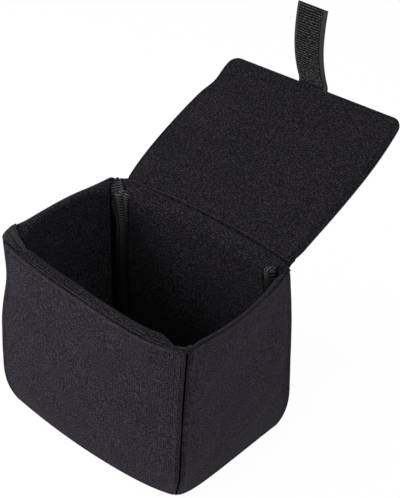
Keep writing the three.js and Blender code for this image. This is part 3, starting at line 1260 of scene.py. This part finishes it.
    def lining(self, side: Side) -> bpy.types.Object:
        """Makes a wall's lining: a soft band over the rim, then the inner face down to the base."""
        line = self.line(side)
        half = line.half
        share = near_ends(LINING_ENDS, half, 1.4)
        row_depth, row_z = self.section(line.rim, 1.0, gap=line.gap)
        away = (1 - np.abs(share)) * half
        soft = np.clip(1 - away / self.droop_length, 0, 1)[None, :] ** 2
        ends = []
        for knit, end in ((self.corner(side.previous), 1), (self.corner(side), 0)):
            web_depth, web_z = self.section(Rim.WEB, 1.0, knit.fall)
            more_depth = (web_depth - row_depth) * knit.droops[end]
            more_z = (web_z - row_z) * knit.droops[end]
            inset = self.corner_inset(knit.tops[end], knit.reaches[end], row_depth + more_depth)
            ends.append((more_depth[:, None] * soft, more_z[:, None] * soft, inset[:, None]))
        first = (share < 0)[None, :]
        more_depth, more_z, inset = (np.where(first, near, far) for near, far in zip(*ends))
        depth, high = row_depth[:, None] + more_depth, row_z[:, None] + more_z
        across = share[None, :] * (self.span(side, high) - inset + 0.3)
        run_depth, run_z = np.gradient(depth, axis=0), np.gradient(high, axis=0)
        size = np.hypot(run_depth, run_z)
        tuck = self.tuck * np.exp(-((away / self.pinch_length) ** 2))[None, :]
        depth, high = depth + tuck * run_z / size, high - tuck * run_depth / size
        points = self.place(side, across, depth, high)
        top = self.height - self.shoulder
        held = (np.abs(share) > 0.985)[None, :] | (high > top - 1) | (high < self.wall + 3.5)
        points = self.lining_fill.swell(points, held)
        out = np.array([*line.out, 0.0])
        free = np.clip(1 - np.abs(share) ** 8, 0, 1)[None, :] * np.clip((high - 10) / 20, 0, 1)
        waves = self.lining_waves.at(points, len(side.value))
        points = points + (waves * free)[..., None] * out
        obj = grid_object(f"{side.value}_wall_lining", points, *cloth_lengths(points))
        give_thickness(obj, self.cloth)
        return obj

    def gusset(self, side: Side, ribs: RibMaker) -> bpy.types.Object:
        """Makes the ribbed knit strip down one inner corner, with its folds.

        Args:
            side: the wall before the corner.
            ribs: the maker of its ribs.

        Returns:
            The gusset.
        """
        knit, after = self.corner(side), side.next
        row_depth, row_z = self.section(Rim.WEB, 0.4, knit.fall)
        way = np.linspace(-1, 1, self.gusset_columns)[None, :]
        depth, z = row_depth[:, None], row_z[:, None]
        pairs = zip(knit.tops, knit.reaches)
        near, far = (self.corner_inset(top, reach, depth) for top, reach in pairs)
        inset = np.where(way < 0, near, far)
        sunk = np.clip((self.height - self.seam_drop - z) / (self.sink_share * knit.fall), 0, 1)
        low = np.clip((z - self.wall) / self.fold_fade, 0, 1)
        bend = np.maximum(np.minimum(self.gusset_round - depth, self.mitre - 0.3), 0.6)
        arc = bend * math.pi / 2
        wide = np.maximum(inset - depth - bend, 0.01) + arc / 2
        run = way * wide
        turn = np.clip(run / arc + 0.5, 0, 1) * math.pi / 2
        past = np.clip(np.abs(run) - arc / 2, 0, None)
        first = depth + bend - bend * np.sin(turn) + np.where(run < 0, past, 0)
        second = depth + bend - bend * np.cos(turn) + np.where(run > 0, past, 0)
        spot = np.where(run < 0, np.minimum(self.wall - first, 0), np.maximum(second - self.wall, 0))
        push = -self.pinch * np.exp(-(((1 - np.abs(way)) * wide / self.pinch_length) ** 2)) * sunk
        spot = spot - knit.drift * np.clip(1 - (self.height - z) / self.drift_length, 0, 1)
        # Painted light share: the knit is painted lit near the rim and fades into painted shade deeper in the
        # corner, towards its seams with the linings, in its fold troughs and at its fold edges.
        painted_lit = np.exp(-((np.clip(self.height - z, 0, None) / knit.lit_depth) ** 2))
        painted_lit = painted_lit * np.clip((1 - np.abs(way)) * wide / self.pinch_length - 0.3, 0, 1)
        for start, stop, height in knit.folds:
            across = np.clip((spot - start) / (stop - start), 0, 1)
            rise = np.sin(math.pi * across) ** self.fold_power
            push = push + height * rise * sunk * low
            lit = 1 - rise if height < 0 else 0.2 + 0.8 * rise
            painted_lit = painted_lit * np.where((across <= 0) | (across >= 1), 1, lit)
        push = np.maximum(push, np.minimum(self.band_start + self.trough_stop - depth, 0))
        first, second = first + push * np.sin(turn), second + push * np.cos(turn)
        before_corner = self.place(side, self.span(side, z) - first, second, z)
        after_corner = self.place(after, second - self.span(after, z), first, z)
        points = np.where((way < 0)[..., None], before_corner, after_corner)
        across, along = cloth_lengths(points)
        obj = grid_object(f"{side.value}_{after.value}_corner", points, across, along)
        free = np.clip((1 - np.abs(way)) / self.rib_border, 0, 1) * np.ones(z.shape)
        aside = np.abs(run - knit.ridge) + knit.spread * depth
        count = self.cloths.pattern.count(along, aside, knit.slant)
        for label, values in (("rib", count), ("free", free), ("painted_light", painted_lit)):
            mark = obj.data.attributes.new(label, "FLOAT", "POINT")
            mark.data.foreach_set("value", np.ascontiguousarray(values, np.float32).ravel())
        ribs.grow(obj)
        give_thickness(obj, self.cloth)
        return obj

    def base(self, name: str, depth: float, z: float, lift: float, faces_up: bool) -> bpy.types.Object:
        """Makes a base cloth whose outline follows the bowed walls.

        Args:
            name: the piece's name.
            depth: how far its outline lies inside the walls' outer faces.
            z: its height.
            lift: how far its border turns up.
            faces_up: true for the lining, false for the underside.

        Returns:
            The base cloth.
        """
        share = np.sin(np.linspace(-0.5, 0.5, BASE_STEPS) * math.pi)
        right, front = share[None, :], share[:, None]
        edges = {side: self.place(side, 0.0, depth, z) for side in Side}
        drop = self.drawn(np.array(z))
        corner_x = self.width / 2 - sum(drop) - depth
        corner_y = self.depth / 2 - sum(drop) - depth
        bow_x = np.where(right > 0, edges[Side.RIGHT][0] - corner_x, -edges[Side.LEFT][0] - corner_x)
        bow_y = np.where(front > 0, edges[Side.BACK][1] - corner_y, -edges[Side.FRONT][1] - corner_y)
        x = right * (corner_x + bow_x * (1 - front**2))
        y = front * (corner_y + bow_y * (1 - right**2))
        rim = np.maximum(np.abs(right), np.abs(front)) ** self.border_power
        points = self.tucked(np.stack(np.broadcast_arrays(x, y, z + lift * rim), axis=-1))
        if faces_up:
            points[..., 2] += self.floor_waves.at(points) * (1 - rim)
        else:
            points = points[:, ::-1]
        obj = grid_object(name, points, *cloth_lengths(points))
        give_thickness(obj, self.cloth)
        return obj

    def build(self) -> None:
        """Makes and dresses every piece of the box."""
        seams = []
        for side in Side:
            cover, seam = self.cover(side)
            nodes = (f"{side.value}_outer_cover", f"{side.value}_foam_board")
            settle(cover, self.cloths.shell, Body.BOX, nodes)
            if side is Side.FRONT:
                seams += [seam, self.band_seam(side)]
            nodes = (f"{side.value}_lining",)
            settle(self.lining(side), self.cloths.lining, Body.BOX, nodes)
        ribs = RibMaker(self.cloths.rib, self.cloths.pattern)
        for side, node in (
            (Side.FRONT, "front_right_gusset"),
            (Side.RIGHT, "back_right_gusset"),
            (Side.BACK, "back_left_gusset"),
            (Side.LEFT, "front_left_gusset"),
        ):
            settle(self.gusset(side, ribs), self.cloths.rib, Body.BOX, (node,))
        under = self.base("base_underside", depth=3.4, z=0.05, lift=0.7, faces_up=False)
        settle(under, self.cloths.shell, Body.BOX, ("base_outer_cover", "base_foam_board"))
        floor = self.base("base_inner_floor", self.wall + 0.5, self.wall + 0.1, lift=1.2, faces_up=True)
        settle(floor, self.cloths.lining, Body.BOX, ("base_lining",))
        stitches = StitchMaker(self.cloths.thread, pitch=1.6, length=1.15, width=0.42)
        sewn = stitches.grow(guide_lines("rim_stitches", seams))
        settle(sewn, self.cloths.thread, Body.BOX)


# The lid


@dataclass
class FlapLid:
    """The padded flap: a lining inside, a cover outside, sewn round their border, on a fabric hinge."""

    cloths: Cloths
    box: PaddedBox
    length: float = 113.0
    root_width: float = 127.0
    mid_width: float = 133.5
    corner: float = 6.0
    thickness: float = 6.0
    open_angle: float = 23.2
    curl: float = 8.5
    curl_length: float = 45.0
    hinge_y: float = 49.275
    hinge_z: float = 119.1
    back_rim: float = 46.0
    back_bow: float = 4.5
    root_gap: float = 2.1
    root_bevel: float = 0.5
    root_round: float = 3.0
    root_cut: float = 2.4
    cut_length: float = 13.0
    dent: float = 2.2
    dent_place: float = 91.0
    dent_length: float = 9.0
    root_sway: float = 2.2
    sway_length: float = 14.0
    end_cut: float = 1.0
    end_slope: float = 0.028
    lining_round: float = 2.6
    cover_round: float = 4.2
    border: float = 1.4
    seam_inset: float = 2.0
    lap: float = 12.0
    rim_half: float = 67.0
    start_x: float = 60.0
    cut_half: float = 62.0
    dent_half: float = 66.0
    held_border: float = 3.4
    held_root: float = 2.5
    seam_depth: float = 0.8
    seam_width: float = 0.5
    cover_seam_depth: float = 0.25
    cover_seam_inset: float = 4.6
    crease: float = 2.3
    crease_length: float = 3.0
    calm_edge: tuple[float, float] = (4.0, 3.0)
    calm_length: float = 14.0
    lining_waves: Waves = Waves(62.0, 0.7, 1.0)
    cover_waves: Waves = Waves(55.0, 0.6, 4.0)
    strip_round: float = 36.0
    bend_heights: tuple[float, float] = (117.6, 119.4)
    fill: PressureFill = PressureFill(2.0, cap=0.9)

    def swell(self, x: Array) -> Array:
        """How far the back rim bows out at a place across it, as a share."""
        return 1 - (np.asarray(x) / self.rim_half) ** 2

    def root(self, x: Array) -> Array:
        """Where the lid starts, from the hinge line."""
        return self.back_rim + self.back_bow * self.swell(x) + self.root_gap - self.hinge_y

    @property
    def start(self) -> float:
        """Where the lid starts near its side edges, from the hinge line."""
        return float(self.root(self.start_x))

    def half(self, reach: Array) -> Array:
        """Half the lid's width at a distance from the hinge line, with its corners rounded."""
        share = np.asarray(reach) / self.length
        belly = (self.mid_width - self.root_width) * 4 * share * (1 - share)
        past = np.clip(reach - (self.length - self.corner), 0, self.corner)
        short = np.clip(self.root_round - (reach - self.start), 0, self.root_round)
        rounding = self.corner - np.sqrt(self.corner**2 - past**2)
        rounding = rounding + self.root_round - np.sqrt(self.root_round**2 - short**2)
        return (self.root_width + belly) / 2 - rounding

    def place(self, x: Array, reach: Array, depth: Array) -> Array:
        """Places on the lid.

        Args:
            x: across the lid.
            reach: from the hinge line towards the free edge.
            depth: from the inner face towards the outer one.

        Returns:
            World places, with x, y, z on the last axis.
        """
        x, reach, depth = np.broadcast_arrays(x, reach, depth)
        share = np.clip(reach / self.length, 0, None) ** 2
        cut = self.root_cut * np.clip(1 - (reach - self.start) / self.cut_length, 0, 1) ** 2
        dent = self.dent * np.exp(-(((reach - self.dent_place) / self.dent_length) ** 2))
        right, left = np.clip(x / self.cut_half, 0, 1), np.clip(-x / self.dent_half, 0, 1)
        x = x - cut * right**6 + dent * left**6
        reach = reach - (self.end_cut - self.end_slope * x) * share
        x = x + self.root_sway * np.exp(-np.clip(reach, 0, None) / self.sway_length)
        straight = self.length - self.curl_length
        radius = self.curl_length / math.radians(self.curl)
        turn = np.clip(reach - straight, 0, None) / radius
        y = np.where(reach < straight, reach, straight + (radius + depth) * np.sin(turn))
        z = np.where(reach < straight, -depth, radius - (radius + depth) * np.cos(turn))
        c, s = math.cos(math.radians(self.open_angle)), math.sin(math.radians(self.open_angle))
        return np.stack([x, self.hinge_y + y * c - z * s, self.hinge_z + y * s + z * c], axis=-1)

    def plan(self) -> tuple[Array, Array, Array]:
        """The lid's flat grid.

        Returns:
            x, distance from the hinge line, and distance from the border, each rows x columns.
        """
        f = near_ends(LID_ENDS, self.mid_width / 2, 1.5)[None, :]
        v = (near_ends(LID_ENDS, self.length / 2, 1.5)[:, None] + 1) / 2
        first = self.root(0.0)
        x = f * self.half(first + (self.length - first) * v)
        reach = self.root(x) + (self.length - self.root(x)) * v
        edge = np.concatenate([np.stack(side, axis=-1) for side in self.border_lines(x, reach)])
        spots = np.stack([x, reach], axis=-1).reshape(-1, 2)
        away = np.full(len(spots), 1e9)
        for start, stop in zip(edge[:-1], edge[1:]):
            run = stop - start
            size = float(run @ run)
            if 1e-9 < size < 100:
                share = np.clip((spots - start) @ run / size, 0, 1)
                away = np.minimum(away, np.linalg.norm(spots - start - share[:, None] * run, axis=1))
        return x, reach, away.reshape(x.shape)

    def border_lines(self, x: Array, reach: Array) -> list[tuple[Array, Array]]:
        """The flat grid's three free sides in order round it, as x and distance from the hinge line."""
        return [
            (x[:, -1], reach[:, -1]),
            (x[-1, ::-1], reach[-1, ::-1]),
            (x[::-1, 0], reach[::-1, 0]),
        ]

    def faces(self) -> tuple[bpy.types.Object, bpy.types.Object]:
        """Makes the lining and the cover, which meet along the border.

        Returns:
            The lining and the cover.
        """
        x, reach, away = self.plan()
        from_root = reach - self.root(x)
        held = (away < self.held_border) | (from_root < self.held_root)

        def turned(distance: float) -> Array:
            """How far a rounded edge has fallen, from 1 at the border to 0."""
            return 1 - np.sqrt(1 - (1 - np.clip(away / distance, 0, 1)) ** 2)

        def groove(inset: float) -> Array:
            """How much of a seam's groove lies at each place, for a seam inside the border."""
            return np.exp(-(((away - inset) / self.seam_width) ** 2))

        crease = self.crease * np.clip(1 - from_root / self.crease_length, 0, 1) ** 2
        sunk = self.seam_depth * groove(self.seam_inset) + crease
        inner = self.place(x, reach, self.border * turned(self.lining_round) + sunk)
        inner = self.fill.swell(inner, held)
        deep = self.thickness - (self.thickness - self.border - 0.15) * turned(self.cover_round)
        deep = np.minimum(deep, self.border + 0.2 + self.root_bevel * from_root)
        deep = deep - self.cover_seam_depth * groove(self.cover_seam_inset)
        outer = self.place(x, reach, deep)[:, ::-1]
        outer = self.fill.swell(outer, held[:, ::-1])
        turn = math.radians(self.open_angle)
        up = np.array([0, -math.sin(turn), math.cos(turn)])
        free = np.clip((away - self.calm_edge[0]) / self.calm_length, 0, 1)
        free = (free * np.clip((from_root - self.calm_edge[1]) / self.calm_length, 0, 1))[..., None]
        inner = inner + self.lining_waves.at(inner)[..., None] * free * up
        outer = outer + self.cover_waves.at(outer)[..., None] * free[:, ::-1] * up
        lining = grid_object("lid_inner_lining", inner, *cloth_lengths(inner))
        cover = grid_object("lid_cover", outer, *cloth_lengths(outer))
        give_thickness(lining, self.box.cloth)
        give_thickness(cover, self.box.cloth)
        return lining, cover

    def hinge(self) -> bpy.types.Object:
        """Makes the strip sewn to the back wall's outside and into the lid's root, with a crease between.

        Returns:
            The strip. The knots of its section run up the wall's outside, into the lid and back.
        """
        xs = np.concatenate([[-62.5, -62.1], np.linspace(-61.5, 64.0, 64), [64.6, 65.0]])
        loops = []
        for x in xs:
            swell = float(self.swell(x))
            out, rise = self.back_rim + self.back_bow * swell, self.box.back_crown * swell
            start = float(self.root(x))
            thin = 0.25 if x in (xs[0], xs[-1]) else 1.0

            def on_lid(reach: float, depth: float) -> tuple[float, float]:
                """A place on the lid's section, as y and z."""
                spot = self.place(np.array(x - self.root_sway), np.array(reach), np.array(depth))
                return float(spot[1]), float(spot[2])

            top = self.box.height + rise
            knots = [
                (out + 0.1, top - self.lap),
                (out + 0.1 + 0.45 * thin, top - self.lap - 0.4),
                (out + 0.1 + 0.9 * thin, top - self.lap + 0.1),
                (out + 0.2 + 1.0 * thin, top - 8.0),
                (out + 0.3 + 1.0 * thin, top - 3.0),
                (out + 1.2 + 1.0 * thin, top - 1.4),
                on_lid(start + 1.0, 3.0 + 0.6 * thin),
                on_lid(start + 3.0, 3.6 + 0.2 * thin),
                on_lid(start + 5.0, 2.6),
                on_lid(start + 4.0, 1.5),
                on_lid(start + 1.6, 2.2),
                (out + 1.3, top - 2.1),
                (out - 0.6, top - 1.6),
                (out - 2.0, top - 1.9),
                (out - 1.8, top - 2.8),
                (out - 0.3, top - 4.0),
                (out + 0.05, top - 8.0),
            ]
            loops.append(smooth_loop(np.array(knots), 4))
        section = np.stack(loops)
        count = section.shape[1]
        side = np.broadcast_to(xs[:, None], (len(xs), count))
        rings = np.concatenate([side[..., None], section], axis=-1)
        return tube_object("lid_hinge_fabric", rings, side, np.linspace(0, self.strip_round, count)[None, :])

    def seam_line(self, inset: float, lift: float) -> Array:
        """A line on the inner face at a distance inside the border, round three sides."""
        v = np.linspace(0.03, 1, 140)
        reach = self.start + (self.length - inset - self.start) * v
        right = np.stack([self.half(reach) - inset, reach], axis=-1)
        right = right[reach < self.length - self.corner]
        turn = np.radians(np.linspace(0, 90, 14))[1:]
        middle = self.half(np.array(self.length - self.corner)) - self.corner
        round_corner = np.stack(
            [
                middle + (self.corner - inset) * np.cos(turn),
                self.length - self.corner + (self.corner - inset) * np.sin(turn),
            ],
            axis=-1,
        )
        half = np.concatenate([right, round_corner])
        line = np.concatenate([half, half[::-1] * np.array([-1.0, 1.0])])
        return self.place(line[:, 0], line[:, 1], np.full(len(line), -lift))

    def build(self) -> None:
        """Makes and dresses every piece of the lid."""
        lining, cover = self.faces()
        settle(lining, self.cloths.lining, Body.LID, ("lid_lining",))
        settle(cover, self.cloths.shell, Body.LID, ("lid_outer_cover", "lid_foam_board"))
        strip = self.hinge()
        strip.data.materials.append(self.cloths.lining)
        settle_across(strip, "lid_hinge_strip")
        dark = YarnFinish("lid_thread", (0.002, 0.002, 0.0022), (0.009, 0.009, 0.0095)).material()
        guide = guide_lines("lid_stitches", [self.seam_line(self.seam_inset, -0.45)])
        sewn = StitchMaker(dark, pitch=2.4, length=1.7, width=0.4).grow(guide)
        settle(sewn, dark, Body.LID)


def smooth_loop(knots: Array, steps: int) -> Array:
    """Runs a smooth closed line through the knots.

    Args:
        knots: n x 2 places.
        steps: points between one knot and the next.

    Returns:
        The line's points.
    """
    before, after, later = np.roll(knots, 1, 0), np.roll(knots, -1, 0), np.roll(knots, -2, 0)
    t = (np.arange(steps) / steps)[None, :, None]
    a, b, c, d = before[:, None], knots[:, None], after[:, None], later[:, None]
    line = 0.5 * (2 * b + (c - a) * t + (2 * a - 5 * b + 4 * c - d) * t**2 + (3 * b - a - 3 * c + d) * t**3)
    return line.reshape(-1, 2)


# The strap


@dataclass
class HookStrap:
    """The strap sewn into the lid's free edge: woven tape with rows of hooks between plain selvedges."""

    cloths: Cloths
    lid: FlapLid
    width: float = 22.0
    length: float = 56.0
    shift: float = -4.0
    tape: float = 0.9
    rise: float = 78.3
    bend: float = 29.0
    selvedge: float = 2.6
    hook_start: float = 5.9
    row_pitch: float = 1.65
    column_pitch: float = 1.0
    root_sway: float = 3.0
    sway_length: float = 36.0
    hook_shift: float = -0.7
    root_reach: float = 1.2
    root_depth: float = 3.0
    arc_start: float = 6.0
    arc_points: int = 46
    inside_reach: float = 3.5
    inside_depth: float = 1.7
    root_pull: float = 5.2
    bend_start: float = 0.3
    bend_stop: float = 3.5
    stitch_count: int = 12

    def root(self) -> tuple[Array, float]:
        """The place where the strap bends on the lid's free edge, and the strap's heading there."""
        reach = np.array(self.lid.length + self.root_reach)
        foot = self.lid.place(np.array(0.0), reach, np.array(self.root_depth))
        return foot, math.radians(self.lid.open_angle + self.lid.curl + self.rise)

    def centre_line(self) -> tuple[Array, Array]:
        """The tape's path from inside the lid to its tip.

        Returns:
            y, z places of its middle and the length along it, from the strap's bending line.
        """
        foot, heading = self.root()
        foot = foot[1:]
        radius = self.length / math.radians(self.bend)
        run = np.linspace(self.arc_start, self.length, self.arc_points)
        turn = run / radius
        forward, up = radius * np.sin(turn), radius * np.cos(turn) - radius + self.tape / 2
        c, s = math.cos(heading), math.sin(heading)
        arc = np.stack([foot[0] + forward * c - up * s, foot[1] + forward * s + up * c], axis=-1)
        reach = np.array(self.lid.length - self.inside_reach)
        inside = self.lid.place(np.array(0.0), reach, np.array(self.inside_depth))[1:]
        back = arc[0] - (arc[1] - arc[0]) / np.linalg.norm(arc[1] - arc[0]) * self.root_pull
        t = np.linspace(0, 1, 14)[:-1, None]
        root = inside * (1 - t) ** 2 + back * 2 * t * (1 - t) + arc[0] * t**2
        line = np.concatenate([root, arc])
        step = np.linalg.norm(np.diff(line, axis=0), axis=1)
        return line, np.append(0.0, np.cumsum(step))

    def aside(self, run: Array) -> Array:
        """How far across the lid the tape's middle lies at a length along it."""
        return self.shift + self.root_sway * np.clip(1 - run / self.sway_length, 0, 1) ** 2

    def web(self) -> bpy.types.Object:
        """Makes the tape, with soft round selvedges and a straight cut tip."""
        line, run = self.centre_line()
        heading = np.gradient(line, axis=0)
        heading /= np.linalg.norm(heading, axis=1, keepdims=True)
        front = np.stack([-heading[:, 1], heading[:, 0]], axis=-1)
        half, thick = self.width / 2, self.tape / 2
        flat = np.linspace(-half + thick, half - thick, 24)
        turn = np.radians(np.linspace(90, -90, 7))[1:-1]
        edge_x, edge_d = half - thick + thick * np.cos(turn), thick * np.sin(turn)
        x = np.concatenate([flat, edge_x, flat[::-1], -edge_x])
        d = np.concatenate([np.full(24, thick), edge_d, np.full(24, -thick), -edge_d])
        d = d * np.where(np.abs(x) > half - self.selvedge, 1.0, 0.8)
        body = line[:, None, :] + d[None, :, None] * front[:, None, :]
        places = (x[None, :] + self.aside(run)[:, None])[..., None]
        rings = np.concatenate([places, body], axis=-1)
        return tube_object("strap_web", rings, x[None, :], run[:, None])

    def hook_guide(self) -> bpy.types.Object:
        """Makes the sheet of points that the hooks stand on, just inside the tape's face."""
        line, run = self.centre_line()
        spots = np.arange(self.hook_start, run[-1] - 0.8, self.row_pitch)
        y, z = np.interp(spots, run, line[:, 0]), np.interp(spots, run, line[:, 1])
        heading = np.gradient(np.stack([y, z], axis=-1), axis=0)
        heading /= np.linalg.norm(heading, axis=1, keepdims=True)
        lift = self.tape / 2 - 0.12
        y, z = y - heading[:, 1] * lift, z + heading[:, 0] * lift
        half = self.width / 2 - self.selvedge
        columns = np.arange(-half, half + 0.01, self.column_pitch) + self.hook_shift
        stagger = np.where(np.arange(len(spots)) % 2, 0.25, -0.25) * self.column_pitch
        x = columns[None, :] + stagger[:, None] + self.aside(spots)[:, None]
        points = np.stack(np.broadcast_arrays(x, y[:, None], z[:, None]), axis=-1)
        flat = np.zeros(points.shape[:2])
        return grid_object("hook_rows", points, flat, flat)

    def build(self) -> None:
        """Makes and dresses the tape, its hooks and the stitches that hold it."""
        web = self.web()
        web.data.materials.append(self.cloths.tape)
        foot, heading = self.root()
        way = np.array([0.0, math.cos(heading), math.sin(heading)]) * MM
        bend = tuple(tuple(foot * MM + way * run) for run in (self.bend_start, self.bend_stop))
        settle_across(web, "strap_tape")
        hooks = HookMaker(self.cloths.hooks, height=0.9, reach=0.75, width=0.36).grow(self.hook_guide())
        settle_across(hooks, "hook_field")
        half = self.width / 2 - 0.8
        x = np.linspace(-half, half, self.stitch_count) + self.aside(np.array(0.0))
        guide = guide_lines("strap_stitches", [self.lid.place(x, self.lid.length - 2.0, -0.02)])
        sewn = StitchMaker(self.cloths.thread, pitch=3.4, length=1.2, width=0.5).grow(guide)
        settle(sewn, self.cloths.thread, Body.LID)


# The studio


@dataclass(frozen=True)
class Lamp:
    """A soft square lamp: its place and side in metres, and its power in watts."""

    name: str
    spot: tuple[float, float, float]
    power: float
    size: float


@dataclass
class Studio:
    """A white floor, soft light from all round, and the view."""

    azimuth: float = 39.8
    elevation: float = 34.9
    roll: float = 2.2
    distance: float = 857.0
    target: tuple[float, float, float] = (-13.9, 63.8, 81.7)
    lens: float = 101.2
    aim: tuple[float, float, float] = (0.0, 0.03, 0.09)
    floor_half: float = 2500.0
    floor_z: float = -0.3
    lamps: tuple[Lamp, ...] = (
        Lamp("key_lamp", (-0.55, -0.45, 0.42), 4.5, 0.4),
        Lamp("right_lamp", (0.75, 0.1, 0.95), 4.5, 0.6),
        Lamp("front_lamp", (0.0, -1.1, 0.8), 4.2, 0.8),
        Lamp("top_lamp", (0.35, -0.4, 1.1), 1.1, 0.8),
        Lamp("back_lamp", (0.2, 1.1, 0.9), 0.8, 0.8),
    )

    def view(self) -> None:
        """Sets the scene's view."""
        a, e, r = (math.radians(angle) for angle in (self.azimuth, self.elevation, self.roll))
        back = Vector((math.sin(a) * math.cos(e), -math.cos(a) * math.cos(e), math.sin(e)))
        right = Vector((math.cos(a), math.sin(a), 0.0))
        up = back.cross(right)
        x, y = right * math.cos(r) + up * math.sin(r), up * math.cos(r) - right * math.sin(r)
        data = bpy.data.cameras.new("view")
        data.lens, data.sensor_width, data.clip_start, data.clip_end = self.lens, 36.0, 0.01, 50.0
        eye = bpy.data.objects.new("view", data)
        stand = Matrix.Translation(Vector(self.target) * MM + back * self.distance * MM)
        eye.matrix_world = stand @ Matrix((x, y, back)).transposed().to_4x4()
        bpy.context.scene.collection.objects.link(eye)
        bpy.context.scene.camera = eye

    def light(self, lamp: Lamp) -> None:
        """Adds a lamp that faces the insert."""
        data = bpy.data.lights.new(lamp.name, "AREA")
        data.energy, data.size = lamp.power, lamp.size
        obj = bpy.data.objects.new(lamp.name, data)
        obj.location = lamp.spot
        obj.rotation_euler = (Vector(self.aim) - Vector(lamp.spot)).to_track_quat("-Z", "Y").to_euler()
        bpy.context.scene.collection.objects.link(obj)

    def seen(self, tree: Tree) -> Link:
        """1 for what the eye sees directly or in a shine, 0 for the rest of the light."""
        path = tree.node("ShaderNodeLightPath")
        return Link(tree, path.outputs["Is Camera Ray"]) + Link(tree, path.outputs["Is Glossy Ray"])

    def floor(self) -> None:
        """Lays the white floor, which keeps a soft shadow."""
        sheet = bpy.data.materials.new("floor_white")
        sheet.use_nodes = True
        tree = Tree(sheet.node_tree)
        matt = tree.take("ShaderNodeBsdfDiffuse", {}, {"Color": (0.86, 0.86, 0.86, 1.0)})
        glow = tree.take("ShaderNodeEmission", {}, {"Color": (1.0, 1.0, 1.0, 1.0), "Strength": 1.03})
        mixed = tree.take("ShaderNodeMixShader", {}, {0: self.seen(tree) * 0.92, 1: matt, 2: glow})
        tree.node("ShaderNodeOutputMaterial", {}, {"Surface": mixed})
        ways = ((-1, -1), (1, -1), (1, 1), (-1, 1))
        corners = np.array([(x * self.floor_half, y * self.floor_half, self.floor_z) for x, y in ways])
        plane = mesh_object("studio_floor", corners, [(0, 1, 2, 3)])
        plane.data.materials.append(sheet)

    def world(self) -> None:
        """Sets an even grey surround that is white to the eye."""
        world = bpy.data.worlds.new("studio")
        bpy.context.scene.world = world
        world.use_nodes = True
        tree = Tree(world.node_tree)
        dim = tree.take("ShaderNodeBackground", {}, {"Color": (0.96, 0.97, 1.0, 1.0), "Strength": 0.3})
        white = tree.take("ShaderNodeBackground", {}, {"Color": (1.0, 1.0, 1.0, 1.0), "Strength": 1.0})
        mixed = tree.take("ShaderNodeMixShader", {}, {0: self.seen(tree), 1: dim, 2: white})
        tree.node("ShaderNodeOutputWorld", {}, {"Surface": mixed})

    def build(self) -> None:
        """Sets up the view, floor, surround and lamps."""
        bpy.context.scene.view_settings.view_transform = "Standard"
        self.view()
        self.floor()
        self.world()
        for lamp in self.lamps:
            self.light(lamp)


def main() -> None:
    """Builds the studio and every piece of the insert."""
    logging.basicConfig(level=logging.INFO, format="%(message)s")
    Studio().build()
    cloths = Cloths()
    box = PaddedBox(cloths)
    box.build()
    lid = FlapLid(cloths, box)
    lid.build()
    HookStrap(cloths, lid).build()


if __name__ == "__main__":
    main()
